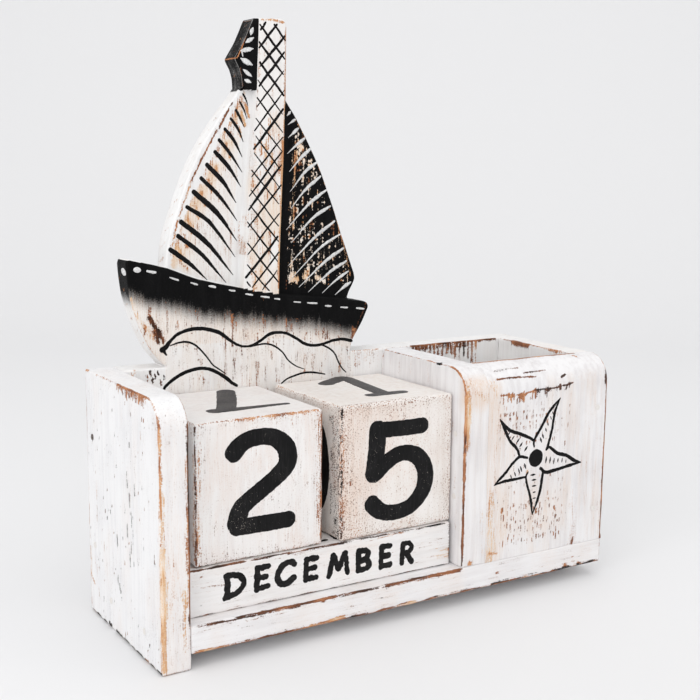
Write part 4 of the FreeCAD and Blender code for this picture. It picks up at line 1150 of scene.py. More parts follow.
# ---------------------------------------------------------------- brush strokes as thin solids
class Brush:
    """Collects strokes, each a thin closed solid lying on a surface, into one mesh."""

    def __init__(self, surface, seed=1):
        self.surface, self.V, self.F, self.count, self.n, self.seed = surface, [], [], 0, 0, seed

    def stroke(self, pts, widths, up=0.07, under=0.12, ragged=0.06, caps=(True, True), closed=False, step=0.45, smooth_path=True):
        """pts in the surface's own (u, v); widths are half widths along the path."""
        self.n += 1
        up = up + 0.006 * (self.n % 7)
        p = spline(np.column_stack([arr(pts), np.zeros(len(pts))]), step, closed)[:, :2] if smooth_path and len(pts) > 2 else dense(arr(pts), step)
        seg = np.linalg.norm(np.diff(p, axis=0), axis=1)
        s = np.concatenate([[0], np.cumsum(seg)])
        w = np.interp(s / s[-1], np.linspace(0, 1, len(widths)), widths)
        t = np.gradient(p, axis=0) if not closed else (np.roll(p, -1, axis=0) - np.roll(p, 1, axis=0))
        t /= np.maximum(np.linalg.norm(t, axis=1)[:, None], 1e-9)
        if not closed:
            for end, on in ((0, caps[0]), (-1, caps[1])):
                if on:
                    a = np.array([0.12, 0.42, 0.72, 0.92])
                    r = w[end]
                    d = -t[end] if end == 0 else t[end]
                    ext = p[end] + d * (np.sin(np.arccos(np.clip(np.sqrt(1 - a * a), 0, 1)))[:, None] * 0 + a[:, None]) * r
                    ww = r * np.sqrt(1 - a * a)
                    if end == 0:
                        p, w, t = np.vstack([ext[::-1], p]), np.concatenate([ww[::-1], w]), np.vstack([np.repeat(t[:1], 4, 0), t])
                    else:
                        p, w, t = np.vstack([p, ext]), np.concatenate([w, ww]), np.vstack([t, np.repeat(t[-1:], 4, 0)])
        nn = np.stack([-t[:, 1], t[:, 0]], 1)
        m = len(p)
        g0 = np.column_stack([p, np.full(m, 0.0)])
        left = w + (noise(g0, 0.7, self.seed * 7 + self.n) - 0.5) * 2 * ragged * np.minimum(1, w / 0.5) + (noise(g0, 0.3, self.seed * 9 + self.n) - 0.5) * ragged * np.minimum(1, w / 0.5)
        right = w + (noise(g0, 0.7, self.seed * 11 + self.n + 50) - 0.5) * 2 * ragged * np.minimum(1, w / 0.5) + (noise(g0, 0.3, self.seed * 13 + self.n + 50) - 0.5) * ragged * np.minimum(1, w / 0.5)
        left, right = np.maximum(left, 0.04), np.maximum(right, 0.04)
        wide = float(w.max()) > 1.2
        prof = [(-1.0, -0.02), (-0.86, 0.75), (-0.5, 1.0), (0.0, 1.0), (0.5, 1.0), (0.86, 0.75), (1.0, -0.02), (0.5, -9), (0.0, -9), (-0.5, -9)] if wide else [(-1.0, -0.02), (-0.6, 0.85), (0.0, 1.0), (0.6, 0.85), (1.0, -0.02), (0.0, -9)]
        k = len(prof)
        cols = []
        for a, h in prof:
            off = np.where(a < 0, right * a, left * a)[:, None]
            lift = -under if h == -9 else h * up
            cols.append(self.surface(p + nn * off, lift))
        grid = np.stack(cols, 1).reshape(-1, 3)
        F = []
        rng = m if closed else m - 1
        for i in range(rng):
            j = (i + 1) % m
            for c in range(k):
                d = (c + 1) % k
                F.append((self.count + i * k + c, self.count + j * k + c, self.count + j * k + d, self.count + i * k + d))
        if not closed:
            F.append(tuple(self.count + c for c in range(k)))
            F.append(tuple(self.count + (m - 1) * k + c for c in range(k))[::-1])
        self.V.append(grid)
        self.F += F
        self.count += len(grid)

    def blob(self, centre, rx, ry, up=0.1, under=0.12, turn=0.0, ragged=0.08):
        """A filled oval."""
        self.n += 1
        a = np.linspace(0, 2 * math.pi, 33)[:-1]
        g0 = np.column_stack([np.cos(a) * 3, np.sin(a) * 3, np.full(32, self.n * 3.1)])
        k = 1 + (noise(g0, 1.0, self.seed + self.n) - 0.5) * 2 * ragged
        c, s = math.cos(turn), math.sin(turn)
        rings = []
        for f, lift in ((1.0, -0.02), (0.86, 0.8 * up), (0.5, up)):
            x, y = np.cos(a) * rx * f * k, np.sin(a) * ry * f * k
            rings.append(self.surface(np.column_stack([centre[0] + x * c - y * s, centre[1] + x * s + y * c]), lift))
        top = self.surface(arr([centre]), up)
        bottom = self.surface(arr([centre]), -under)
        b = self.count
        self.V += rings + [top, bottom]
        for i in range(32):
            j = (i + 1) % 32
            self.F += [(b + i, b + j, b + 32 + j, b + 32 + i), (b + 32 + i, b + 32 + j, b + 64 + j, b + 64 + i), (b + 64 + i, b + 64 + j, b + 96), (b + j, b + i, b + 97)]
        self.count += 98

    def done(self, name, body, mat, slot="black_paint"):
        V = np.vstack(self.V)
        ob = make(name, V, self.F, body, mat)
        bpy.context.view_layer.update()
        import bmesh
        bm = bmesh.new()
        bm.from_mesh(ob.data)
        bmesh.ops.recalc_face_normals(bm, faces=bm.faces)
        bm.to_mesh(ob.data)
        bm.free()
        return ob


DIGITS = {
    "0": [([(22.5, 38.6), (15.4, 34.0), (12.6, 22.6), (15.2, 11.4), (22.5, 6.8), (29.8, 11.2), (32.4, 22.4), (29.6, 34.0)], True)],
    "1": [([(17.5, 32.5), (20.5, 35.0), (23.6, 38.2)], False), ([(23.8, 38.2), (23.6, 24.0), (23.2, 8.0)], False), ([(16.6, 7.2), (23.4, 7.0), (30.4, 7.3)], False)],
    "2": [([(12.0, 34.5), (14.4, 36.8), (17.8, 38.2), (21.9, 38.5), (26.1, 37.6), (29.6, 34.9), (31.0, 31.2), (30.0, 27.8), (26.8, 25.0), (21.9, 21.8), (17.4, 19.0), (14.3, 16.3), (12.9, 12.2)], False), ([(12.9, 10.7), (21.8, 10.6), (31.1, 10.5)], False)],
    "3": [([(12.8, 34.2), (17.2, 37.6), (22.8, 38.4), (28.4, 36.2), (30.2, 31.6), (27.6, 26.6), (21.6, 24.0)], False), ([(21.6, 23.6), (28.8, 21.8), (32.4, 16.6), (30.8, 10.4), (25.6, 7.0), (18.8, 6.9), (12.8, 10.2)], False)],
    "4": [([(27.6, 38.0), (27.6, 22.0), (27.2, 7.0)], False), ([(27.0, 38.0), (19.0, 27.0), (12.2, 17.2)], False), ([(12.2, 16.4), (23.0, 16.6), (34.0, 16.8)], False)],
    "5": [([(15.0, 35.7), (24.1, 35.3), (33.1, 35.3)], False), ([(15.0, 35.7), (14.7, 29.0), (13.7, 21.3)], False), ([(14.5, 21.2), (18.8, 24.4), (23.5, 26.5), (28.4, 26.3), (32.5, 23.7), (34.7, 19.2), (34.4, 14.3), (32.0, 10.5), (28.0, 7.6), (22.3, 6.7), (16.7, 7.9), (13.1, 10.9)], False)],
    "6": [([(29.8, 37.2), (23.0, 33.4), (17.2, 26.6), (14.0, 18.4), (14.8, 11.2), (20.2, 7.0), (27.0, 7.4), (31.4, 12.4), (31.0, 18.4), (26.4, 22.2), (20.4, 21.4), (15.8, 17.4)], False)],
    "7": [([(12.4, 37.4), (22.0, 37.2), (32.8, 37.6)], False), ([(32.4, 36.8), (26.6, 25.0), (20.4, 7.2)], False)],
    "8": [([(22.5, 38.4), (16.6, 35.2), (16.4, 28.6), (22.5, 24.0), (28.6, 28.6), (28.4, 35.2)], True), ([(22.5, 23.2), (14.6, 19.4), (13.8, 12.0), (22.5, 6.8), (31.2, 12.0), (30.4, 19.4)], True)],
}
LETTERS = {
    "A": [[(0.02, 0), (0.28, 0.55), (0.52, 1)], [(0.52, 1), (0.76, 0.5), (0.98, 0)], [(0.2, 0.34), (0.84, 0.36)]],
    "B": [[(0.1, 0.02), (0.08, 1)], [(0.08, 0.98), (0.62, 0.96), (0.86, 0.78), (0.66, 0.58), (0.12, 0.52)], [(0.12, 0.5), (0.72, 0.46), (0.96, 0.24), (0.7, 0.04), (0.1, 0.02)]],
    "C": [[(0.96, 0.84), (0.78, 0.97), (0.42, 0.94), (0.12, 0.68), (0.04, 0.34), (0.24, 0.06), (0.62, 0.0), (0.96, 0.2)]],
    "D": [[(0.12, 0.02), (0.1, 0.98)], [(0.02, 0.98), (0.56, 0.96), (0.92, 0.7), (0.92, 0.4), (0.6, 0.12), (0.04, 0.0)]],
    "E": [[(0.12, 0), (0.08, 1)], [(0.08, 1), (0.92, 0.98)], [(0.1, 0.52), (0.78, 0.54)], [(0.12, 0.02), (0.96, 0.04)]],
    "F": [[(0.12, 0), (0.08, 1)], [(0.08, 1), (0.94, 0.98)], [(0.1, 0.54), (0.76, 0.56)]],
    "G": [[(0.94, 0.84), (0.72, 0.98), (0.36, 0.92), (0.08, 0.6), (0.1, 0.24), (0.4, 0.0), (0.78, 0.08), (0.94, 0.42)], [(0.58, 0.44), (0.98, 0.44)]],
    "H": [[(0.1, 0), (0.08, 1)], [(0.92, 0), (0.94, 1)], [(0.1, 0.5), (0.92, 0.52)]],
    "I": [[(0.5, 0), (0.5, 1)]],
    "J": [[(0.7, 1), (0.72, 0.3), (0.5, 0.02), (0.14, 0.12)], [(0.36, 1), (0.98, 1)]],
    "L": [[(0.12, 1), (0.1, 0.02)], [(0.1, 0.02), (0.94, 0.04)]],
    "M": [[(0.04, 0.0), (0.2, 0.98)], [(0.2, 0.98), (0.5, 0.3)], [(0.5, 0.3), (0.8, 1.0)], [(0.8, 1.0), (0.98, 0.02)]],
    "N": [[(0.08, 0), (0.1, 1)], [(0.1, 1), (0.9, 0.02)], [(0.9, 0.02), (0.92, 1)]],
    "O": [[(0.5, 1), (0.12, 0.78), (0.04, 0.4), (0.34, 0.02), (0.74, 0.08), (0.96, 0.5), (0.82, 0.88), (0.5, 1)]],
    "P": [[(0.1, 0), (0.08, 1)], [(0.08, 0.98), (0.68, 0.96), (0.94, 0.74), (0.7, 0.5), (0.12, 0.46)]],
    "R": [[(0.1, 0), (0.08, 1)], [(0.08, 0.98), (0.64, 0.96), (0.88, 0.76), (0.66, 0.54), (0.12, 0.5)], [(0.4, 0.5), (0.96, 0.02)]],
    "S": [[(0.9, 0.86), (0.6, 1.0), (0.2, 0.9), (0.14, 0.66), (0.5, 0.52), (0.86, 0.36), (0.84, 0.12), (0.46, 0.0), (0.08, 0.12)]],
    "T": [[(0.5, 0), (0.5, 1)], [(0.04, 0.98), (0.96, 1.0)]],
    "U": [[(0.08, 1), (0.1, 0.3), (0.4, 0.0), (0.76, 0.1), (0.92, 0.4), (0.92, 1)]],
    "V": [[(0.02, 1), (0.5, 0.02)], [(0.5, 0.02), (0.98, 1)]],
    "Y": [[(0.04, 1), (0.5, 0.5)], [(0.96, 1), (0.5, 0.5), (0.48, 0)]],
}
FACES = {  # face: origin corner in units of the box, u axis, v axis, outward normal
    "front": ((0, 0, 0), (1, 0, 0), (0, 0, 1), (0, -1, 0)),
    "right": ((1, 0, 0), (0, 1, 0), (0, 0, 1), (1, 0, 0)),
    "back": ((1, 1, 0), (-1, 0, 0), (0, 0, 1), (0, 1, 0)),
    "left": ((0, 1, 0), (0, -1, 0), (0, 0, 1), (-1, 0, 0)),
    "top": ((0, 0, 1), (1, 0, 0), (0, 1, 0), (0, 0, 1)),
    "bottom": ((0, 1, 0), (1, 0, 0), (0, -1, 0), (0, 0, -1)),
}


def block(P, size, place, seed):
    """Points of a block's own box, unevened and put in place."""
    P = arr(P)
    Q = P + wobble(P + arr([seed * 31.7, seed * 17.3, 0]), 0.05, 0.03, seed)
    c = arr(size) / 2
    Q = c + (Q - c) * (1 - 0.14 / arr(size))
    return place(Q)


def face_surface(face, size, place, seed):
    o, u, v, nrm = (arr(a) for a in FACES[face])
    size = arr(size)

    def f(q, lift=0.0):
        q = arr(q)
        P = o * size + q[:, :1] * u + q[:, 1:2] * v
        Q = block(P, size, lambda a: a, seed)
        return place(Q + nrm * lift)
    return f


def placed(corner, turn):
    a = math.radians(turn)
    R = arr([[math.cos(a), -math.sin(a), 0], [math.sin(a), math.cos(a), 0], [0, 0, 1]])
    return lambda P: arr(P) @ R.T + arr(corner)


def build_block(name, node, body, size, corner, turn, mat, strokes, base_fn, thin_fn, seed, r, step):
    place = placed(corner, turn)
    lo, hi = (0, 0, 0), tuple(size)
    f = (0.0, 0.2, 0.45, 0.75, 1.1, 1.6)
    V, Q = shell(lines(0, size[0], step, f), lines(0, size[1], step, f), lines(0, size[2], step, f))
    V = ease(V, lo, hi, r, seed=seed, vary=0.4)
    wear, tone = wear_from(V, strokes)
    low = base_fn(V)
    tone = np.where(wear < low, 0.5 + 0.3 * (noise(V, 6.0, 71 + seed) - 0.3), tone)
    wear = np.maximum(wear, low)
    if size[2] > 20:
        wear = wear - 0.3 * ((V[:, 2] > size[2] - 0.35) & (wear < 0.34))
    make(name, block(V, size, place, seed), Q, body, mat, {"wear": wear, "tone": np.clip(tone, 0, 1), "thin": thin_fn(V)}, replaces=[node])
    return place


def edges_of(size):
    a, b, c = size
    E = {}
    for y, ny in ((0, "f"), (b, "b")):
        for z, nz in ((0, "l"), (c, "h")):
            E["x" + ny + nz] = [(0.6, y, z), (a / 2, y, z), (a - 0.6, y, z)]
    for x, nx in ((0, "l"), (a, "r")):
        for z, nz in ((0, "l"), (c, "h")):
            E["y" + nx + nz] = [(x, 0.6, z), (x, b / 2, z), (x, b - 0.6, z)]
        for y, ny in ((0, "f"), (b, "b")):
            E["z" + nx + ny] = [(x, y, 0.6), (x, y, c / 2), (x, y, c - 0.6)]
    return E


C45 = (45.0, 45.0, 45.0)
EDG = edges_of(C45)
# left cube
S = []
for k, e in EDG.items():
    S.append((e, 0.9, 0.72, 0.5, 0.6))
    S.append((e, 2.2, 0.36, 0.4, 0.7))
S += [([(0, 0, 1), (0, 0, 24), (0, 0, 44)], 1.0, 0.96, 0.74, 0.4), ([(0, 0, 3), (0.5, 0, 24), (0.5, 0, 42)], 3.0, 0.58, 0.4, 0.7)]
S += [([(14, 0, 45), (30, 0, 45), (43, 0, 45)], 1.5, 0.82, 0.42, 0.7), ([(4, 0, 45), (14, 0, 45)], 0.9, 0.7, 0.5, 0.7)]
S += [([(45, 0, 2), (45, 0, 22), (45, 0, 44)], 1.3, 0.9, 0.55, 0.6), ([(44.2, 0, 4), (44, 0, 22), (44.2, 0, 42)], 3.0, 0.54, 0.42, 0.7)]
S += [([(0.5, 0, 0), (22, 0, 0), (44.5, 0, 0)], 0.8, 0.85, 0.72, 0.6)]
S += [([(44.6, 0.5, 45), (44.8, 20, 45), (45, 44, 45)], 0.8, 0.75, 0.5, 0.6)]
S += [([(6.2, 0, 13), (6.6, 0, 9)], 0.9, 0.5, 0.6, 0.7), ([(2.6, 0, 42), (3.2, 0, 39)], 0.8, 0.55, 0.6, 0.7)]
g = np.random.default_rng(71)
for k in range(230):
    u, w, ln = g.uniform(1, 44), g.uniform(2, 44), g.uniform(0.4, 2.0)
    f_ = g.integers(0, 6)
    o, a, b, nrm = (arr(t) for t in FACES[("front", "right", "back", "left", "top", "bottom")[f_]])
    p0 = o * 45 + u * a + w * b
    p1 = o * 45 + u * a + max(0.5, w - ln) * b
    S.append(([tuple(p0), tuple(p1)], g.uniform(0.26, 0.42), g.uniform(0.36, 0.6), g.uniform(0.42, 0.66), 0.6))


def cube_l_low(V):
    d = np.sort(np.stack([V[:, 0], 45 - V[:, 0], V[:, 1], 45 - V[:, 1], V[:, 2], 45 - V[:, 2]], 1), 1)[:, 1]
    return 0.11 + 0.08 * noise(V, (5, 5, 12), 31) + 0.16 * (1 - smooth(0.5, 4.5, d))


def cube_r_low(V):
    d = np.sort(np.stack([V[:, 0], 45 - V[:, 0], V[:, 1], 45 - V[:, 1], V[:, 2], 45 - V[:, 2]], 1), 1)[:, 1]
    front = (V[:, 1] < 2).astype(float)
    corner = smooth(8, 40, (45 - V[:, 0]) * 0.7 + V[:, 2] * 0.3)
    return 0.14 + 0.07 * noise(V, 8.0, 33) + 0.15 * (1 - smooth(0.5, 5.5, d)) + 0.06 * front * corner


place_l = build_block("date_cube_left_painted", "date_cube_left", "left_cube", C45, (13.8, 6.2, 29.0), 0.7, M_CUBE_L, S, cube_l_low,
                      lambda V: 0.14 + 0.34 * smooth(0.35, 0.75, fbm(V, (5, 5, 16), 35)) * np.where(V[:, 2] > 44, 0.4, 1), 3, 1.15, 0.95)
# right cube
S = []
for k, e in EDG.items():
    S.append((e, 0.8, 0.62, 0.42, 0.6))
    S.append((e, 3.0, 0.3, 0.42, 0.8))
S += [([(0, 0, 1), (0, 0, 24), (0, 0, 44)], 1.0, 0.97, 0.92, 0.55), ([(0.4, 0, 4), (0.4, 0, 24), (0.4, 0, 43)], 1.9, 0.6, 0.52, 0.6)]
S += [([(1, 0, 45), (22, 0, 45), (44, 0, 45)], 0.8, 0.62, 0.34, 0.6), ([(45, 0, 1), (45, 0, 22), (45, 0, 44)], 0.7, 0.72, 0.5, 0.6)]
S += [([(0, 44, 45), (0, 22, 45), (0, 1, 45)], 0.9, 0.72, 0.42, 0.6)]
S += [([(1, 0, 0), (14, 0, 0), (22, 0, 0)], 1.1, 0.6, 0.42, 0.7), ([(20, 0, 0), (34, 0, 0), (44, 0, 0)], 0.8, 0.82, 0.75, 0.7)]
# the right cube's left face, in the narrow gap between the cubes, gets a broad dark smear and many dark-brown strokes:
# partly worn wood, partly painted shade for the gap
S += [([(3.6, 0, 19.8), (3.6, 0, 18.6)], 0.5, 0.85, 0.6, 0.4), ([(0, 2.5, 1), (0, 4, 24), (0, 2.5, 43)], 4.5, 0.5, 0.72, 0.7)]
for k in range(150):
    y, z, ln = g.uniform(1, 44), g.uniform(2, 43), g.uniform(0.8, 3.6)
    S.append(([(0, y, z), (0, y - ln * 0.15, max(0.5, z - ln))], 0.42, g.uniform(0.4, 0.66), g.uniform(0.62, 0.92), 0.6))
for k in range(60):
    y, z, ln = g.uniform(0.4, 7), g.uniform(2, 43), g.uniform(1.2, 4)
    S.append(([(0, y, z), (0, max(0.2, y - 0.3), max(0.5, z - ln))], 0.5, g.uniform(0.45, 0.72), g.uniform(0.8, 0.97), 0.6))


def cube_r_thin(V):
    front = (V[:, 1] < 1.5).astype(float)
    edge = 1 - smooth(0, 16, V[:, 0])
    top = smooth(22, 42, V[:, 2])
    right = front * smooth(18, 34, V[:, 0])
    return np.clip(0.14 + 0.3 * smooth(0.35, 0.75, fbm(V, (9, 9, 12), 37)) + front * (0.32 * edge + 0.18 * top), 0, 1) * np.where(V[:, 2] > 44.2, 0.3, 1) * (1 - 0.6 * right)


place_r = build_block("date_cube_right_painted", "date_cube_right", "right_cube", C45, (64.9, 5.9, 29.0), 0.9, M_CUBE_R, S, cube_r_low, cube_r_thin, 4, 1.15, 0.95)


def flat_brush(p, rx, rz, closed):
    """Half widths along a stroke of a brush held flat: rx where it runs up or down, rz where it runs across."""
    q = spline(np.column_stack([p, np.zeros(len(p))]), 0.5, closed)[:, :2]
    t = np.gradient(q, axis=0)
    t /= np.maximum(np.linalg.norm(t, axis=1)[:, None], 1e-9)
    w = np.sqrt((rx * t[:, 1]) ** 2 + (rz * t[:, 0]) ** 2)
    s = np.concatenate([[0], np.cumsum(np.linalg.norm(np.diff(q, axis=0), axis=1))])
    return np.interp(np.linspace(0, s[-1], 26), s, w)


def number(brush_set, name, faces, place, body, seed, shift={}):
    # digits on a top face get the lighter ink, which paints their sheen
    for part, mat in (("", M_DIGIT), ("_top", M_DIGIT_TOP_SHEEN)):
        V, F, count = [], [], 0
        for face, (digit, turn) in faces.items():
            if (face == "top") != (part == "_top"):
                continue
            surf = face_surface(face, C45, place, seed)
            strokes = DIGITS[digit] if isinstance(digit, str) else digit
            b = Brush(surf, seed=seed * 10 + len(V))
            for pts, closed, *given in strokes:
                p = arr(pts) + arr([shift.get(face, 0.0), 0.0])
                w = given[0] if given else flat_brush(p, 3.4, 2.72, closed)
                b.stroke(p, w, up=0.075, ragged=0.11, closed=closed, step=0.5)
            base = count
            V += b.V
            F += [tuple(base + i for i in f) for f in b.F]
            count += b.count
        holder = Brush(None)
        holder.V, holder.F, holder.count = V, F, count
        holder.done(name + part, body, mat)


ONE_TOP = [([(16.8, 36.4), (20.0, 38.6), (27.6, 43.0)], False, [3.0, 3.2, 3.0]), ([(28.4, 41.8), (26.8, 30.0), (24.8, 13.0)], False, [2.8, 3.0, 2.9]), ([(19.4, 11.4), (25.0, 11.2), (31.4, 10.9)], False, [2.4, 2.5, 2.3])]
SEVEN_TOP = [([(12.6, 13.4), (17.5, 13.2), (27.0, 12.9), (37.6, 12.6)], False, [3.0, 2.6, 1.9, 1.6, 1.3]), ([(16.4, 13.6), (20.2, 20.6), (25.2, 30.8), (29.6, 40.2)], False, [3.1, 3.3, 3.3, 3.2])]
number(None, "digits_left_cube", {"front": ("2", False), "right": ("1", False), "back": ("6", False), "left": ("0", False), "top": (SEVEN_TOP, False), "bottom": ("8", False)}, place_l, "left_cube", 3, {"front": 1.1, "top": 0.8})
number(None, "digits_right_cube", {"front": ("5", False), "right": ("3", False), "back": ("4", False), "left": ("0", False), "top": (ONE_TOP, False), "bottom": ("2", False)}, place_r, "right_cube", 4, {"front": -1.0, "top": -0.4, "left": 1.8})

# ---------------------------------------------------------------- month bars
BAR = (99.2, 15.3, 15.3)
BE = edges_of(BAR)
MONTHS = {
    "front": ("month_bar_front", "front_bar", 0, {"front": "DECEMBER", "top": "SEPTEMBER", "back": "OCTOBER", "bottom": "NOVEMBER"}),
    "middle": ("month_bar_middle", "middle_bar", 1, {"front": "JANUARY", "top": "FEBRUARY", "back": "MARCH", "bottom": "APRIL"}),
    "rear": ("month_bar_rear", "rear_bar", 2, {"front": "MAY", "top": "JUNE", "back": "JULY", "bottom": "AUGUST"}),
}
DECEMBER_BOXES = [(12.6, 20.5), (23.2, 29.0), (30.6, 38.2), (40.8, 46.6), (49.7, 58.5), (60.7, 66.7), (69.7, 75.0), (78.2, 84.0)]
DECEMBER_BASE = [3.7, 4.2, 4.3, 4.0, 3.6, 3.4, 3.2, 2.9]


def letter(b, ch, u0, u1, w0, h, r, g):
    slant = 0.05
    for pts in LETTERS[ch]:
        p = arr(pts) + g.uniform(-0.02, 0.02, (len(pts), 2))
        q = np.column_stack([u0 + (u1 - u0) * p[:, 0] + slant * h * p[:, 1], w0 + h * p[:, 1]])
        k = g.uniform(0.88, 1.12, 3) * r
        b.stroke(q, [k[0], k[1], k[2]], up=0.06, ragged=0.2, step=0.3)


for key, (node, body, i, names) in MONTHS.items():
    corner = (10.0, 5.6 + i * 15.42, 13.7)
    g = np.random.default_rng(200 + i)
    S = []
    for k, e in BE.items():
        S.append((e, 0.7, 0.6, 0.5, 0.7))
    if i == 0:
        S += [([(1, 0, 15.3), (30, 0, 15.3), (54, 0, 15.3)], 0.9, 0.85, 0.72, 0.7), ([(54, 0, 15.3), (70, 0, 15.3), (97, 0, 15.3)], 1.0, 0.82, 0.8, 0.75), ([(62, 0, 14.6), (80, 0, 14.8)], 0.6, 0.6, 0.4, 0.8)]
        S += [([(99.2, 0, 1), (99.2, 0, 8), (99.2, 0, 15)], 0.9, 0.8, 0.85, 0.7), ([(98.9, 0, 10), (98.9, 0, 14)], 1.2, 0.6, 0.8, 0.7), ([(98.6, 0, 5.6), (99.2, 0, 5.2)], 0.6, 0.7, 0.4, 0.5), ([(94, 0, 4.5), (98.8, 0, 3.5)], 3.2, 0.46, 0.14, 0.6)]
        S += [([(5.2, 0, 12.6), (6.4, 0, 12.5)], 0.5, 0.85, 0.62, 0.5), ([(4.6, 0, 3.4), (6.2, 0, 3.0)], 0.4, 0.8, 0.9, 0.5)]
        S += [([(1, 0, 0), (50, 0, 0), (97, 0, 0)], 0.7, 0.8, 0.85, 0.6)]
    for k in range(70):
        u, w, ln = g.uniform(1, 92), g.uniform(1, 14.4), g.uniform(2, 10)
        face = ("front", "top", "back", "bottom")[k % 4]
        o, a, b_, nrm = (arr(t) for t in FACES[face])
        if face == "back":
            p0, p1 = o * arr(BAR) + u * a + w * b_, o * arr(BAR) + min(97, u + ln) * a + w * b_
        else:
            p0, p1 = o * arr(BAR) + u * a + w * b_, o * arr(BAR) + min(97, u + ln) * a + (w + g.uniform(-0.15, 0.15)) * b_
        S.append(([tuple(p0), tuple(p1)], 0.34, g.uniform(0.34, 0.58), g.uniform(0.25, 0.62), 0.8))
    place = build_block(node + "_painted", node, body, BAR, corner, 0.0, M_BAR, S,
                        lambda V: 0.10 + 0.08 * noise(V, (14, 5, 5), 41), lambda V: 0.08 + 0.26 * smooth(0.4, 0.8, fbm(V, (20, 6, 6), 43)), 10 + i, 0.62, 0.9)
    V_, F_, count = [], [], 0
    for face, word in names.items():
        b = Brush(face_surface(face, BAR, place, 10 + i), seed=60 + i * 10 + len(V_))
        if word == "DECEMBER":
            boxes, base = DECEMBER_BOXES, DECEMBER_BASE
        else:
            wd = min(6.4, (86 - 2.4 * (len(word) - 1)) / len(word))
            total = wd * len(word) + 2.5 * (len(word) - 1)
            u0 = (99.2 - total) / 2
            boxes = [(u0 + k * (wd + 2.5) + g.uniform(-0.3, 0.3), u0 + k * (wd + 2.5) + wd) for k in range(len(word))]
            base = list(3.8 + g.uniform(-0.35, 0.35, len(word)))
        for ch, (a, c), w0 in zip(word, boxes, base):
            letter(b, ch, a + 0.5, c - 0.7, w0 + 0.9, 6.8 + 0.2 * g.random(), 1.04, g)
        V_ += b.V
        F_ += [tuple(count + t for t in f) for f in b.F]
        count += b.count
    hold = Brush(None)
    hold.V, hold.F, hold.count = V_, F_, count
    hold.done("month_names_" + key, body, M_MONTH)


# ---------------------------------------------------------------- brushwork on the boat
SL = [
    [(54.6, 173.5), (55.8, 171.6), (56.6, 169.6)], [(53.4, 170.8), (55.0, 168.2), (56.2, 165.3)], [(51.9, 168.1), (53.5, 165.5), (55.1, 162.6)],
    [(50.0, 165.1), (52.7, 161.9), (54.7, 157.6)], [(47.7, 161.7), (51.2, 157.9), (54.4, 152.6)], [(45.4, 158.1), (50.0, 153.2), (54.4, 147.5)],
    [(43.9, 154.1), (49.3, 148.9), (54.0, 142.5)], [(40.8, 149.8), (47.0, 144.2), (52.1, 137.1)], [(38.6, 145.5), (46.2, 138.8), (52.5, 131.0)],
    [(35.9, 140.9), (44.7, 133.8), (52.6, 124.1)], [(33.3, 136.0), (40.5, 131.9), (45.1, 127.1), (51.8, 118.7)], [(31.1, 131.1), (40.9, 123.8), (51.0, 112.5)],
    [(29.9, 126.5), (38.9, 119.9), (48.3, 109.9)], [(27.0, 122.0), (34.4, 117.0), (40.9, 111.3)],
]
SL_W = [0.36, 0.4, 0.52, 0.6, 0.68, 0.66, 0.82, 0.88, 0.76, 1.0, 0.76, 0.94, 0.82, 0.86]
b = Brush(plank_surface, seed=5)
for p, w in zip(SL, SL_W):
    b.stroke(p, [w * 0.9, w * 1.0, w * 0.95, w * 0.74, w * 0.45, 0.1], ragged=0.08, step=0.35, caps=(True, False))
b.done("left_sail_strokes", "case", M_INK)

SR = [
    [(73.1, 168.8), (71.2, 166.7)], [(75.1, 166.1), (71.6, 163.7)], [(76.2, 163.1), (71.7, 159.3)], [(78.6, 159.8), (75.5, 157.3), (71.3, 153.8)],
    [(81.0, 156.4), (77.1, 152.9), (72.2, 147.7)], [(83.4, 151.5), (78.3, 147.7), (72.6, 140.8)], [(85.0, 146.7), (78.4, 141.4), (73.0, 134.9)],
    [(87.4, 141.8), (80.4, 136.9), (71.2, 127.6)], [(89.1, 136.1), (81.6, 131.6), (73.1, 123.0)], [(90.8, 130.8), (82.1, 124.5), (72.0, 114.9)],
    [(93.3, 126.1), (84.6, 120.9), (72.5, 109.6)], [(94.6, 121.0), (86.6, 115.9), (76.4, 107.3)], [(95.9, 116.3), (88.7, 112.2), (80.0, 105.3)],
    [(96.8, 112.6), (90.8, 108.9), (85.6, 104.7)], [(97.7, 108.6), (94.9, 106.9), (90.8, 103.8)],
]
b = Brush(plank_surface, seed=6)
for k, p in enumerate(SR):
    w = 0.4 if k < 2 else 0.48
    if k in (10, 13):
        w = 0.38
    d = arr(p[1]) - arr(p[0])
    p = [tuple(arr(p[0]) + d / np.linalg.norm(d) * 0.85)] + p[1:]
    b.stroke(p, [w * 0.75, w * 1.35, w * 1.1, w * 0.66, w * 0.42, 0.1], ragged=0.1, step=0.35, caps=(True, False))
b.done("right_sail_strokes", "case", M_WHITE, "white_washed_wood")

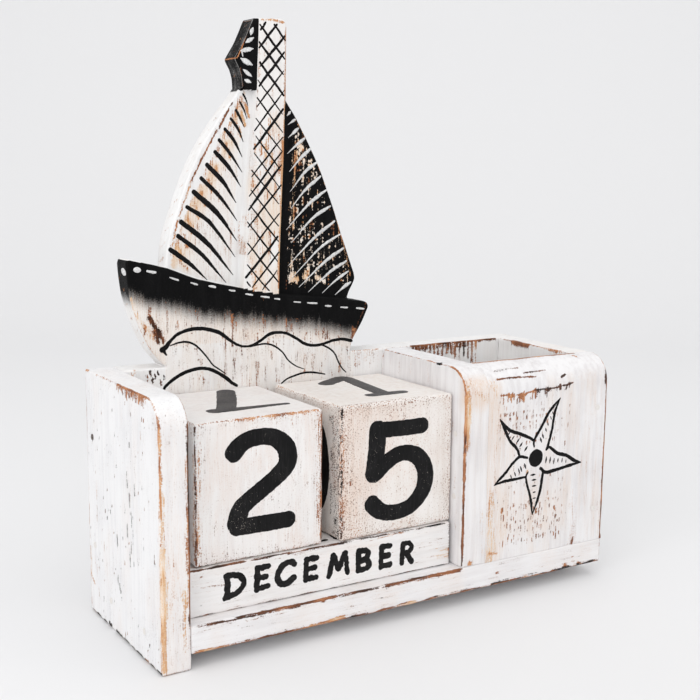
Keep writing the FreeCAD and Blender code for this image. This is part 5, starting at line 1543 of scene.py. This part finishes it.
# the mast's crossed lines: two families, clipped to the mast
b = Brush(plank_surface, seed=7)
g = np.random.default_rng(17)
centres = [(63.4, 198.9), (62.8, 192.7), (63.2, 186.5), (62.8, 180.3), (62.4, 174.0), (62.7, 167.4), (62.3, 161.1), (63.1, 153.7), (62.5, 148.0), (61.5, 142.5), (61.1, 135.8), (62.7, 128.6), (62.7, 121.3), (62.3, 114.8), (61.6, 108.4), (61.4, 102.0)]
thick = {4: 0.0, 6: 0.24, 9: 0.18, 10: 0.1, 12: 0.2}
for k, (cx, cz) in enumerate(centres):
    for sgn in (1, -1):
        m = sgn * (1.16 + g.uniform(-0.06, 0.06))
        t = np.linspace(-9.5, 9.5, 60)
        x, z = cx + t, cz + m * t + g.uniform(-0.2, 0.2)
        ok = (x > at(MAST_L, z) + 0.35) & (x < at(MAST_R, z) - 0.4) & (z < 197.6 - 0.1 * (x - 64)) & (z > at(HULL_TOP, x, 0) + 0.5)
        if ok.sum() < 5:
            continue
        x, z = x[ok], z[ok]
        cut0, cut1 = g.integers(0, 3), g.integers(0, 3)
        x, z = x[cut0:len(x) - cut1], z[cut0:len(z) - cut1]
        if len(x) < 4:
            continue
        idx = np.unique(np.linspace(0, len(x) - 1, 5).astype(int))
        w = 0.27 + g.uniform(-0.03, 0.06) + (thick.get(k, 0.04) if sgn > 0 else 0.0) + (0.14 if z.mean() > 176 else 0)
        q = np.column_stack([x, z])[idx] + g.uniform(-0.1, 0.1, (len(idx), 2))
        b.stroke(q, [w * g.uniform(0.5, 0.9), w, w * g.uniform(0.8, 1.25), w, w * g.uniform(0.5, 0.9)], up=0.05, ragged=0.06, step=0.4)
b.done("mast_lattice", "case", M_INK)

# pennant leaves and the dashes along the hull
b = Brush(plank_surface, seed=8)
for cx, cz, ln, w, a in [(56.7, 193.9, 2.8, 0.62, 70), (55.9, 191.0, 3.6, 0.7, 32), (54.9, 187.8, 4.9, 0.78, 12), (54.8, 183.9, 5.0, 0.92, -24), (55.1, 180.2, 4.0, 0.7, -34), (55.2, 177.6, 2.7, 0.66, -20)]:
    d = arr([math.cos(math.radians(a)), math.sin(math.radians(a))]) * ln / 2
    c = arr([cx, cz])
    b.stroke([tuple(c - d), tuple(c), tuple(c + d)], [0.12, w, w * 0.95, 0.14], ragged=0.08, step=0.3, caps=(False, False))
b.stroke([(53.0, 187.2), (53.4, 185.6)], [0.2, 0.3, 0.16], up=0.04, ragged=0.1, step=0.3)
dashes = [(14.8, 115.9, 2.6, 1.0), (19.6, 115.1, 3.2, 0.5), (27.6, 112.5, 3.2, 0.34), (34.8, 110.6, 2.6, 0.34), (41.4, 109.3, 2.6, 0.42), (48.8, 107.6, 2.3, 0.36), (55.3, 105.9, 2.8, 0.38), (61.5, 104.7, 3.4, 0.34), (66.2, 103.8, 2.2, 0.32), (74.2, 102.3, 2.8, 0.28), (80.3, 101.6, 4.0, 0.36), (86.9, 100.2, 2.6, 0.36), (93.6, 99.3, 3.0, 0.34), (100.5, 98.5, 3.4, 0.36)]
for cx, cz, ln, w in dashes:
    slope = (at(HULL_TOP, cx + 1, 0) - at(HULL_TOP, cx - 1, 0)) / 2
    if w > 0.9:
        b.blob((cx, cz), 1.35, 0.95, turn=math.atan(slope))
        continue
    d = arr([1.0, slope * 0.9]) * (ln / 2 - w * 0.5)
    c = arr([cx, cz])
    b.stroke([tuple(c - d), tuple(c), tuple(c + d)], [w * 0.7, w, w * 0.9], up=0.06, ragged=0.1, step=0.3)
b.done("white_dashes", "case", M_WHITE, "white_washed_wood")


def bow_surface(q, lift=0.0):
    """On the plank's left side at the bow: (y, z)."""
    q = arr(q)
    x = np.interp(q[:, 1], BOW_EDGE[::-1, 1], BOW_EDGE[::-1, 0])
    p = np.column_stack([x, q[:, 0], q[:, 1]])
    p = p + wobble(p)
    p[:, 0] -= lift
    return p


b = Brush(bow_surface, seed=9)
b.blob((55.0, 115.2), 2.2, 1.3, turn=0.15)
b.done("bow_dab", "case", M_WHITE, "white_washed_wood")

# waves
b = Brush(plank_surface, seed=10)
b.stroke([(23.0, 89.0), (24.4, 89.9), (25.9, 91.8), (28.8, 94.0), (33.1, 95.2), (36.8, 95.3), (40.5, 94.6), (44.2, 93.3), (47.9, 90.6), (50.6, 88.8), (53.6, 87.9), (56.7, 88.2), (59.5, 89.4), (63.4, 91.6), (67.4, 91.9), (70.6, 91.1), (74.2, 89.1), (77.5, 87.1), (80.8, 86.3), (84.5, 86.5), (88.7, 87.5), (92.9, 87.8), (97.0, 86.8)],
         [1.0, 0.55, 0.62, 0.66, 0.7, 0.66, 0.5, 0.4, 0.5, 0.62, 0.5, 0.5, 0.56, 0.54, 0.5, 0.56, 0.62], ragged=0.07, step=0.4)
b.stroke([(23.2, 89.6), (23.9, 88.0), (24.4, 87.2)], [0.4, 0.55, 0.3], ragged=0.07, step=0.3)
for p, w in [
    ([(25.8, 90.2), (28.7, 91.0), (31.6, 91.1), (34.2, 90.2), (36.7, 88.2), (39.2, 85.4), (41.5, 82.4), (44.1, 80.5), (46.3, 78.9)], [0.2, 0.34, 0.38, 0.34, 0.3, 0.28, 0.26, 0.15]),
    ([(55.6, 87.6), (58.7, 88.1), (61.8, 88.2), (65.0, 87.3), (68.2, 84.9), (70.6, 81.8), (73.8, 79.4), (77.1, 78.0)], [0.2, 0.32, 0.34, 0.3, 0.28, 0.26, 0.15]),
    ([(82.0, 86.6), (84.5, 86.2), (87.9, 84.5), (90.0, 82.5), (91.3, 79.8), (93.0, 77.0), (94.7, 75.4)], [0.2, 0.34, 0.34, 0.3, 0.3, 0.28, 0.2]),
    ([(23.4, 75.6), (24.2, 76.8), (26.7, 78.6), (30.0, 80.3), (33.7, 81.4), (37.4, 81.6), (40.3, 81.0), (43.3, 79.5), (46.3, 77.5), (48.6, 75.5), (50.4, 74.4)], [0.5, 0.6, 0.66, 0.62, 0.6, 0.62, 0.7, 0.5]),
    ([(68.0, 73.6), (70.2, 75.0), (73.0, 75.8), (76.3, 76.5), (80.4, 76.5), (85.8, 75.4)], [0.3, 0.36, 0.36, 0.4, 0.36, 0.2]),
]:
    b.stroke(p, w, up=0.06, ragged=0.06, step=0.4)
b.done("wave_lines", "case", M_INK)


# ---------------------------------------------------------------- the starfish on the cup
def cup_surface(q, lift=0.0):
    q = arr(q)
    p = np.column_stack([q[:, 0], np.zeros(len(q)), q[:, 1]])
    p = p + wobble(p)
    p[:, 1] -= lift
    return p


b = Brush(cup_surface, seed=11)
for p, w in [
    ([(140.9, 53.0), (140.7, 54.3), (141.5, 56.3), (144.6, 60.7), (147.6, 65.1), (152.3, 69.2)], [0.3, 0.5, 0.5, 0.52, 0.5, 0.2]),
    ([(152.3, 69.2), (150.0, 64.5), (148.9, 58.0), (147.7, 53.8), (146.6, 51.2)], [0.2, 0.5, 0.46, 0.5, 0.4]),
    ([(146.9, 51.4), (148.2, 51.9), (151.7, 49.3), (156.0, 48.0), (160.0, 45.7), (163.4, 44.4)], [0.4, 0.5, 0.56, 0.56, 0.6, 0.2]),
    ([(163.4, 44.4), (158.1, 44.0), (152.4, 43.3), (146.8, 42.9), (144.2, 44.6)], [0.2, 0.52, 0.5, 0.62, 0.5]),
    ([(145.4, 43.1), (144.3, 36.7), (142.7, 32.1), (141.0, 28.2)], [0.5, 0.56, 0.5, 0.2]),
    ([(141.0, 28.2), (139.8, 34.4), (138.2, 39.4), (137.6, 42.4), (138.4, 43.9)], [0.2, 0.48, 0.46, 0.42, 0.3]),
    ([(137.6, 42.4), (131.3, 42.2), (127.2, 42.0), (123.5, 41.3)], [0.36, 0.44, 0.5, 0.2]),
    ([(123.5, 41.3), (128.0, 44.8), (131.5, 48.2), (134.5, 50.0), (137.9, 49.3)], [0.2, 0.5, 0.46, 0.5, 0.4]),
    ([(134.5, 50.0), (133.0, 53.1), (129.8, 56.3), (127.4, 60.5), (125.3, 64.3)], [0.4, 0.5, 0.46, 0.5, 0.2]),
    ([(125.3, 64.3), (129.2, 60.3), (134.2, 58.3), (138.8, 56.3), (140.6, 55.2)], [0.2, 0.52, 0.5, 0.56, 0.4]),
]:
    b.stroke(p, [v * 1.2 for v in w], up=0.06, ragged=0.09, step=0.35)
b.blob((141.9, 48.7), 3.3, 3.25, up=0.08, ragged=0.06)
ticks = [
    ([(143.9, 55.0), (144.8, 56.3), (146.1, 58.4), (146.9, 60.4), (148.2, 62.5), (149.0, 64.2)], (0.35, -0.9)),
    ([(137.1, 52.6), (134.8, 54.3), (133.4, 55.9), (131.1, 57.2), (129.2, 58.9), (127.6, 60.3)], (0.75, 0.9)),
    ([(137.0, 46.4), (135.2, 45.6), (134.3, 45.0), (132.5, 44.1), (130.8, 43.3)], (-0.45, 1.2)),
    ([(140.8, 42.7), (141.3, 40.8), (141.4, 38.6), (141.5, 36.3), (141.6, 34.1)], (1.1, 0.0)),
    ([(146.6, 47.4), (148.5, 47.1), (150.4, 46.5), (152.3, 46.6), (154.2, 46.4), (156.1, 45.8)], (0.15, 1.2)),
]
g = np.random.default_rng(23)
for pts, (dx, dz) in ticks:
    for k, (x, z) in enumerate(pts):
        f = 1.05 - 0.11 * k
        d = arr([dx, dz]) * f * g.uniform(0.7, 1.0)
        c = arr([x, z])
        b.stroke([tuple(c - d), tuple(c), tuple(c + d)], [0.16, 0.42 * f, 0.16], up=0.05, ragged=0.05, step=0.3)
b.done("starfish_lines", "case", M_INK)

# ---------------------------------------------------------------- floor, light and camera
floor_mat = Shader("studio_floor", specular=0.15, rough=0.75)
n1 = floor_mat.noise(900.0, detail=2.0)
floor_mat.colour(floor_mat.mix(n1, lin(231, 231, 232), lin(232, 232, 233)))
floor_mat.roughness(0.75)

seg, pts = 24, []
for i in range(seg + 1):
    a = math.pi / 2 * i / seg
    pts.append((0.55 + 0.5 * math.sin(a), 0.5 - 0.5 * math.cos(a)))
prof = [(-1.6, 0.0), (-0.4, 0.0), (0.55, 0.0)] + pts[1:] + [(1.05, 1.6)]
yaw = math.radians(31.788926)
V_, F_ = [], []
for s_ in (-3.0, 3.0):
    for y, z in prof:
        x, yy = s_ * math.cos(yaw) + y * math.sin(yaw), -s_ * math.sin(yaw) + y * math.cos(yaw)
        V_.append((x, yy, z))
n = len(prof)
F_ = [(i, n + i, n + i + 1, i + 1) for i in range(n - 1)]
me = bpy.data.meshes.new("studio_sweep")
me.from_pydata(V_, [], F_)
me.polygons.foreach_set("use_smooth", np.ones(len(F_), dtype=bool))
me.materials.append(floor_mat.mat)
sweep = bpy.data.objects.new("studio_sweep", me)
scene.collection.objects.link(sweep)


def lamp(name, where, target, size, power, colour=(1, 1, 1)):
    l = bpy.data.lights.new(name, "AREA")
    l.shape = "RECTANGLE"
    l.size, l.size_y = size
    l.energy = power
    l.color = colour
    ob = bpy.data.objects.new(name, l)
    ob.location = where
    ob.rotation_euler = (Vector(target) - Vector(where)).to_track_quat("-Z", "Y").to_euler()
    scene.collection.objects.link(ob)
    return ob


lamp("key", (-1.1, -0.55, 0.68), (0.0, 0.0, 0.06), (0.9, 0.9), 5.0)
lamp("fill", (0.95, -0.95, 0.8), (0.0, 0.0, 0.06), (0.9, 0.9), 1.2)
lamp("front", (-0.7, -1.12, 0.45), (0.0, 0.0, 0.08), (0.9, 0.7), 1.7)
lamp("top", (0.1, -0.1, 1.3), (0.0, 0.0, 0.0), (1.2, 1.2), 3.5)
world = bpy.data.worlds.new("studio")
world.use_nodes = True
world.node_tree.nodes["Background"].inputs[0].default_value = (1.0, 1.0, 1.0, 1.0)
world.node_tree.nodes["Background"].inputs[1].default_value = 0.80
scene.world = world
scene.view_settings.view_transform = "Standard"
scene.view_settings.look = "None"
scene.view_settings.exposure = 0.0
scene.view_settings.gamma = 1.0

cam = bpy.data.cameras.new("camera")
cam.sensor_width = 36.0
cam.lens = 59.08
cam.clip_start = 0.01
cam.dof.use_dof = False
camera = bpy.data.objects.new("camera", cam)
pitch, roll = math.radians(9.113456), math.radians(0.561202)
Fw = Vector((math.sin(yaw) * math.cos(pitch), math.cos(yaw) * math.cos(pitch), -math.sin(pitch)))
R0 = Fw.cross(Vector((0, 0, 1))).normalized()
U0 = R0.cross(Fw)
R_ = R0 * math.cos(roll) + U0 * math.sin(roll)
U_ = -R0 * math.sin(roll) + U0 * math.cos(roll)
M = Matrix.Identity(4)
for i in range(3):
    M[i][0], M[i][1], M[i][2] = R_[i], U_[i], -Fw[i]
M[0][3], M[1][3], M[2][3] = -0.2097523, -0.3320124, 0.1500202
camera.matrix_world = M
scene.collection.objects.link(camera)
scene.camera = camera
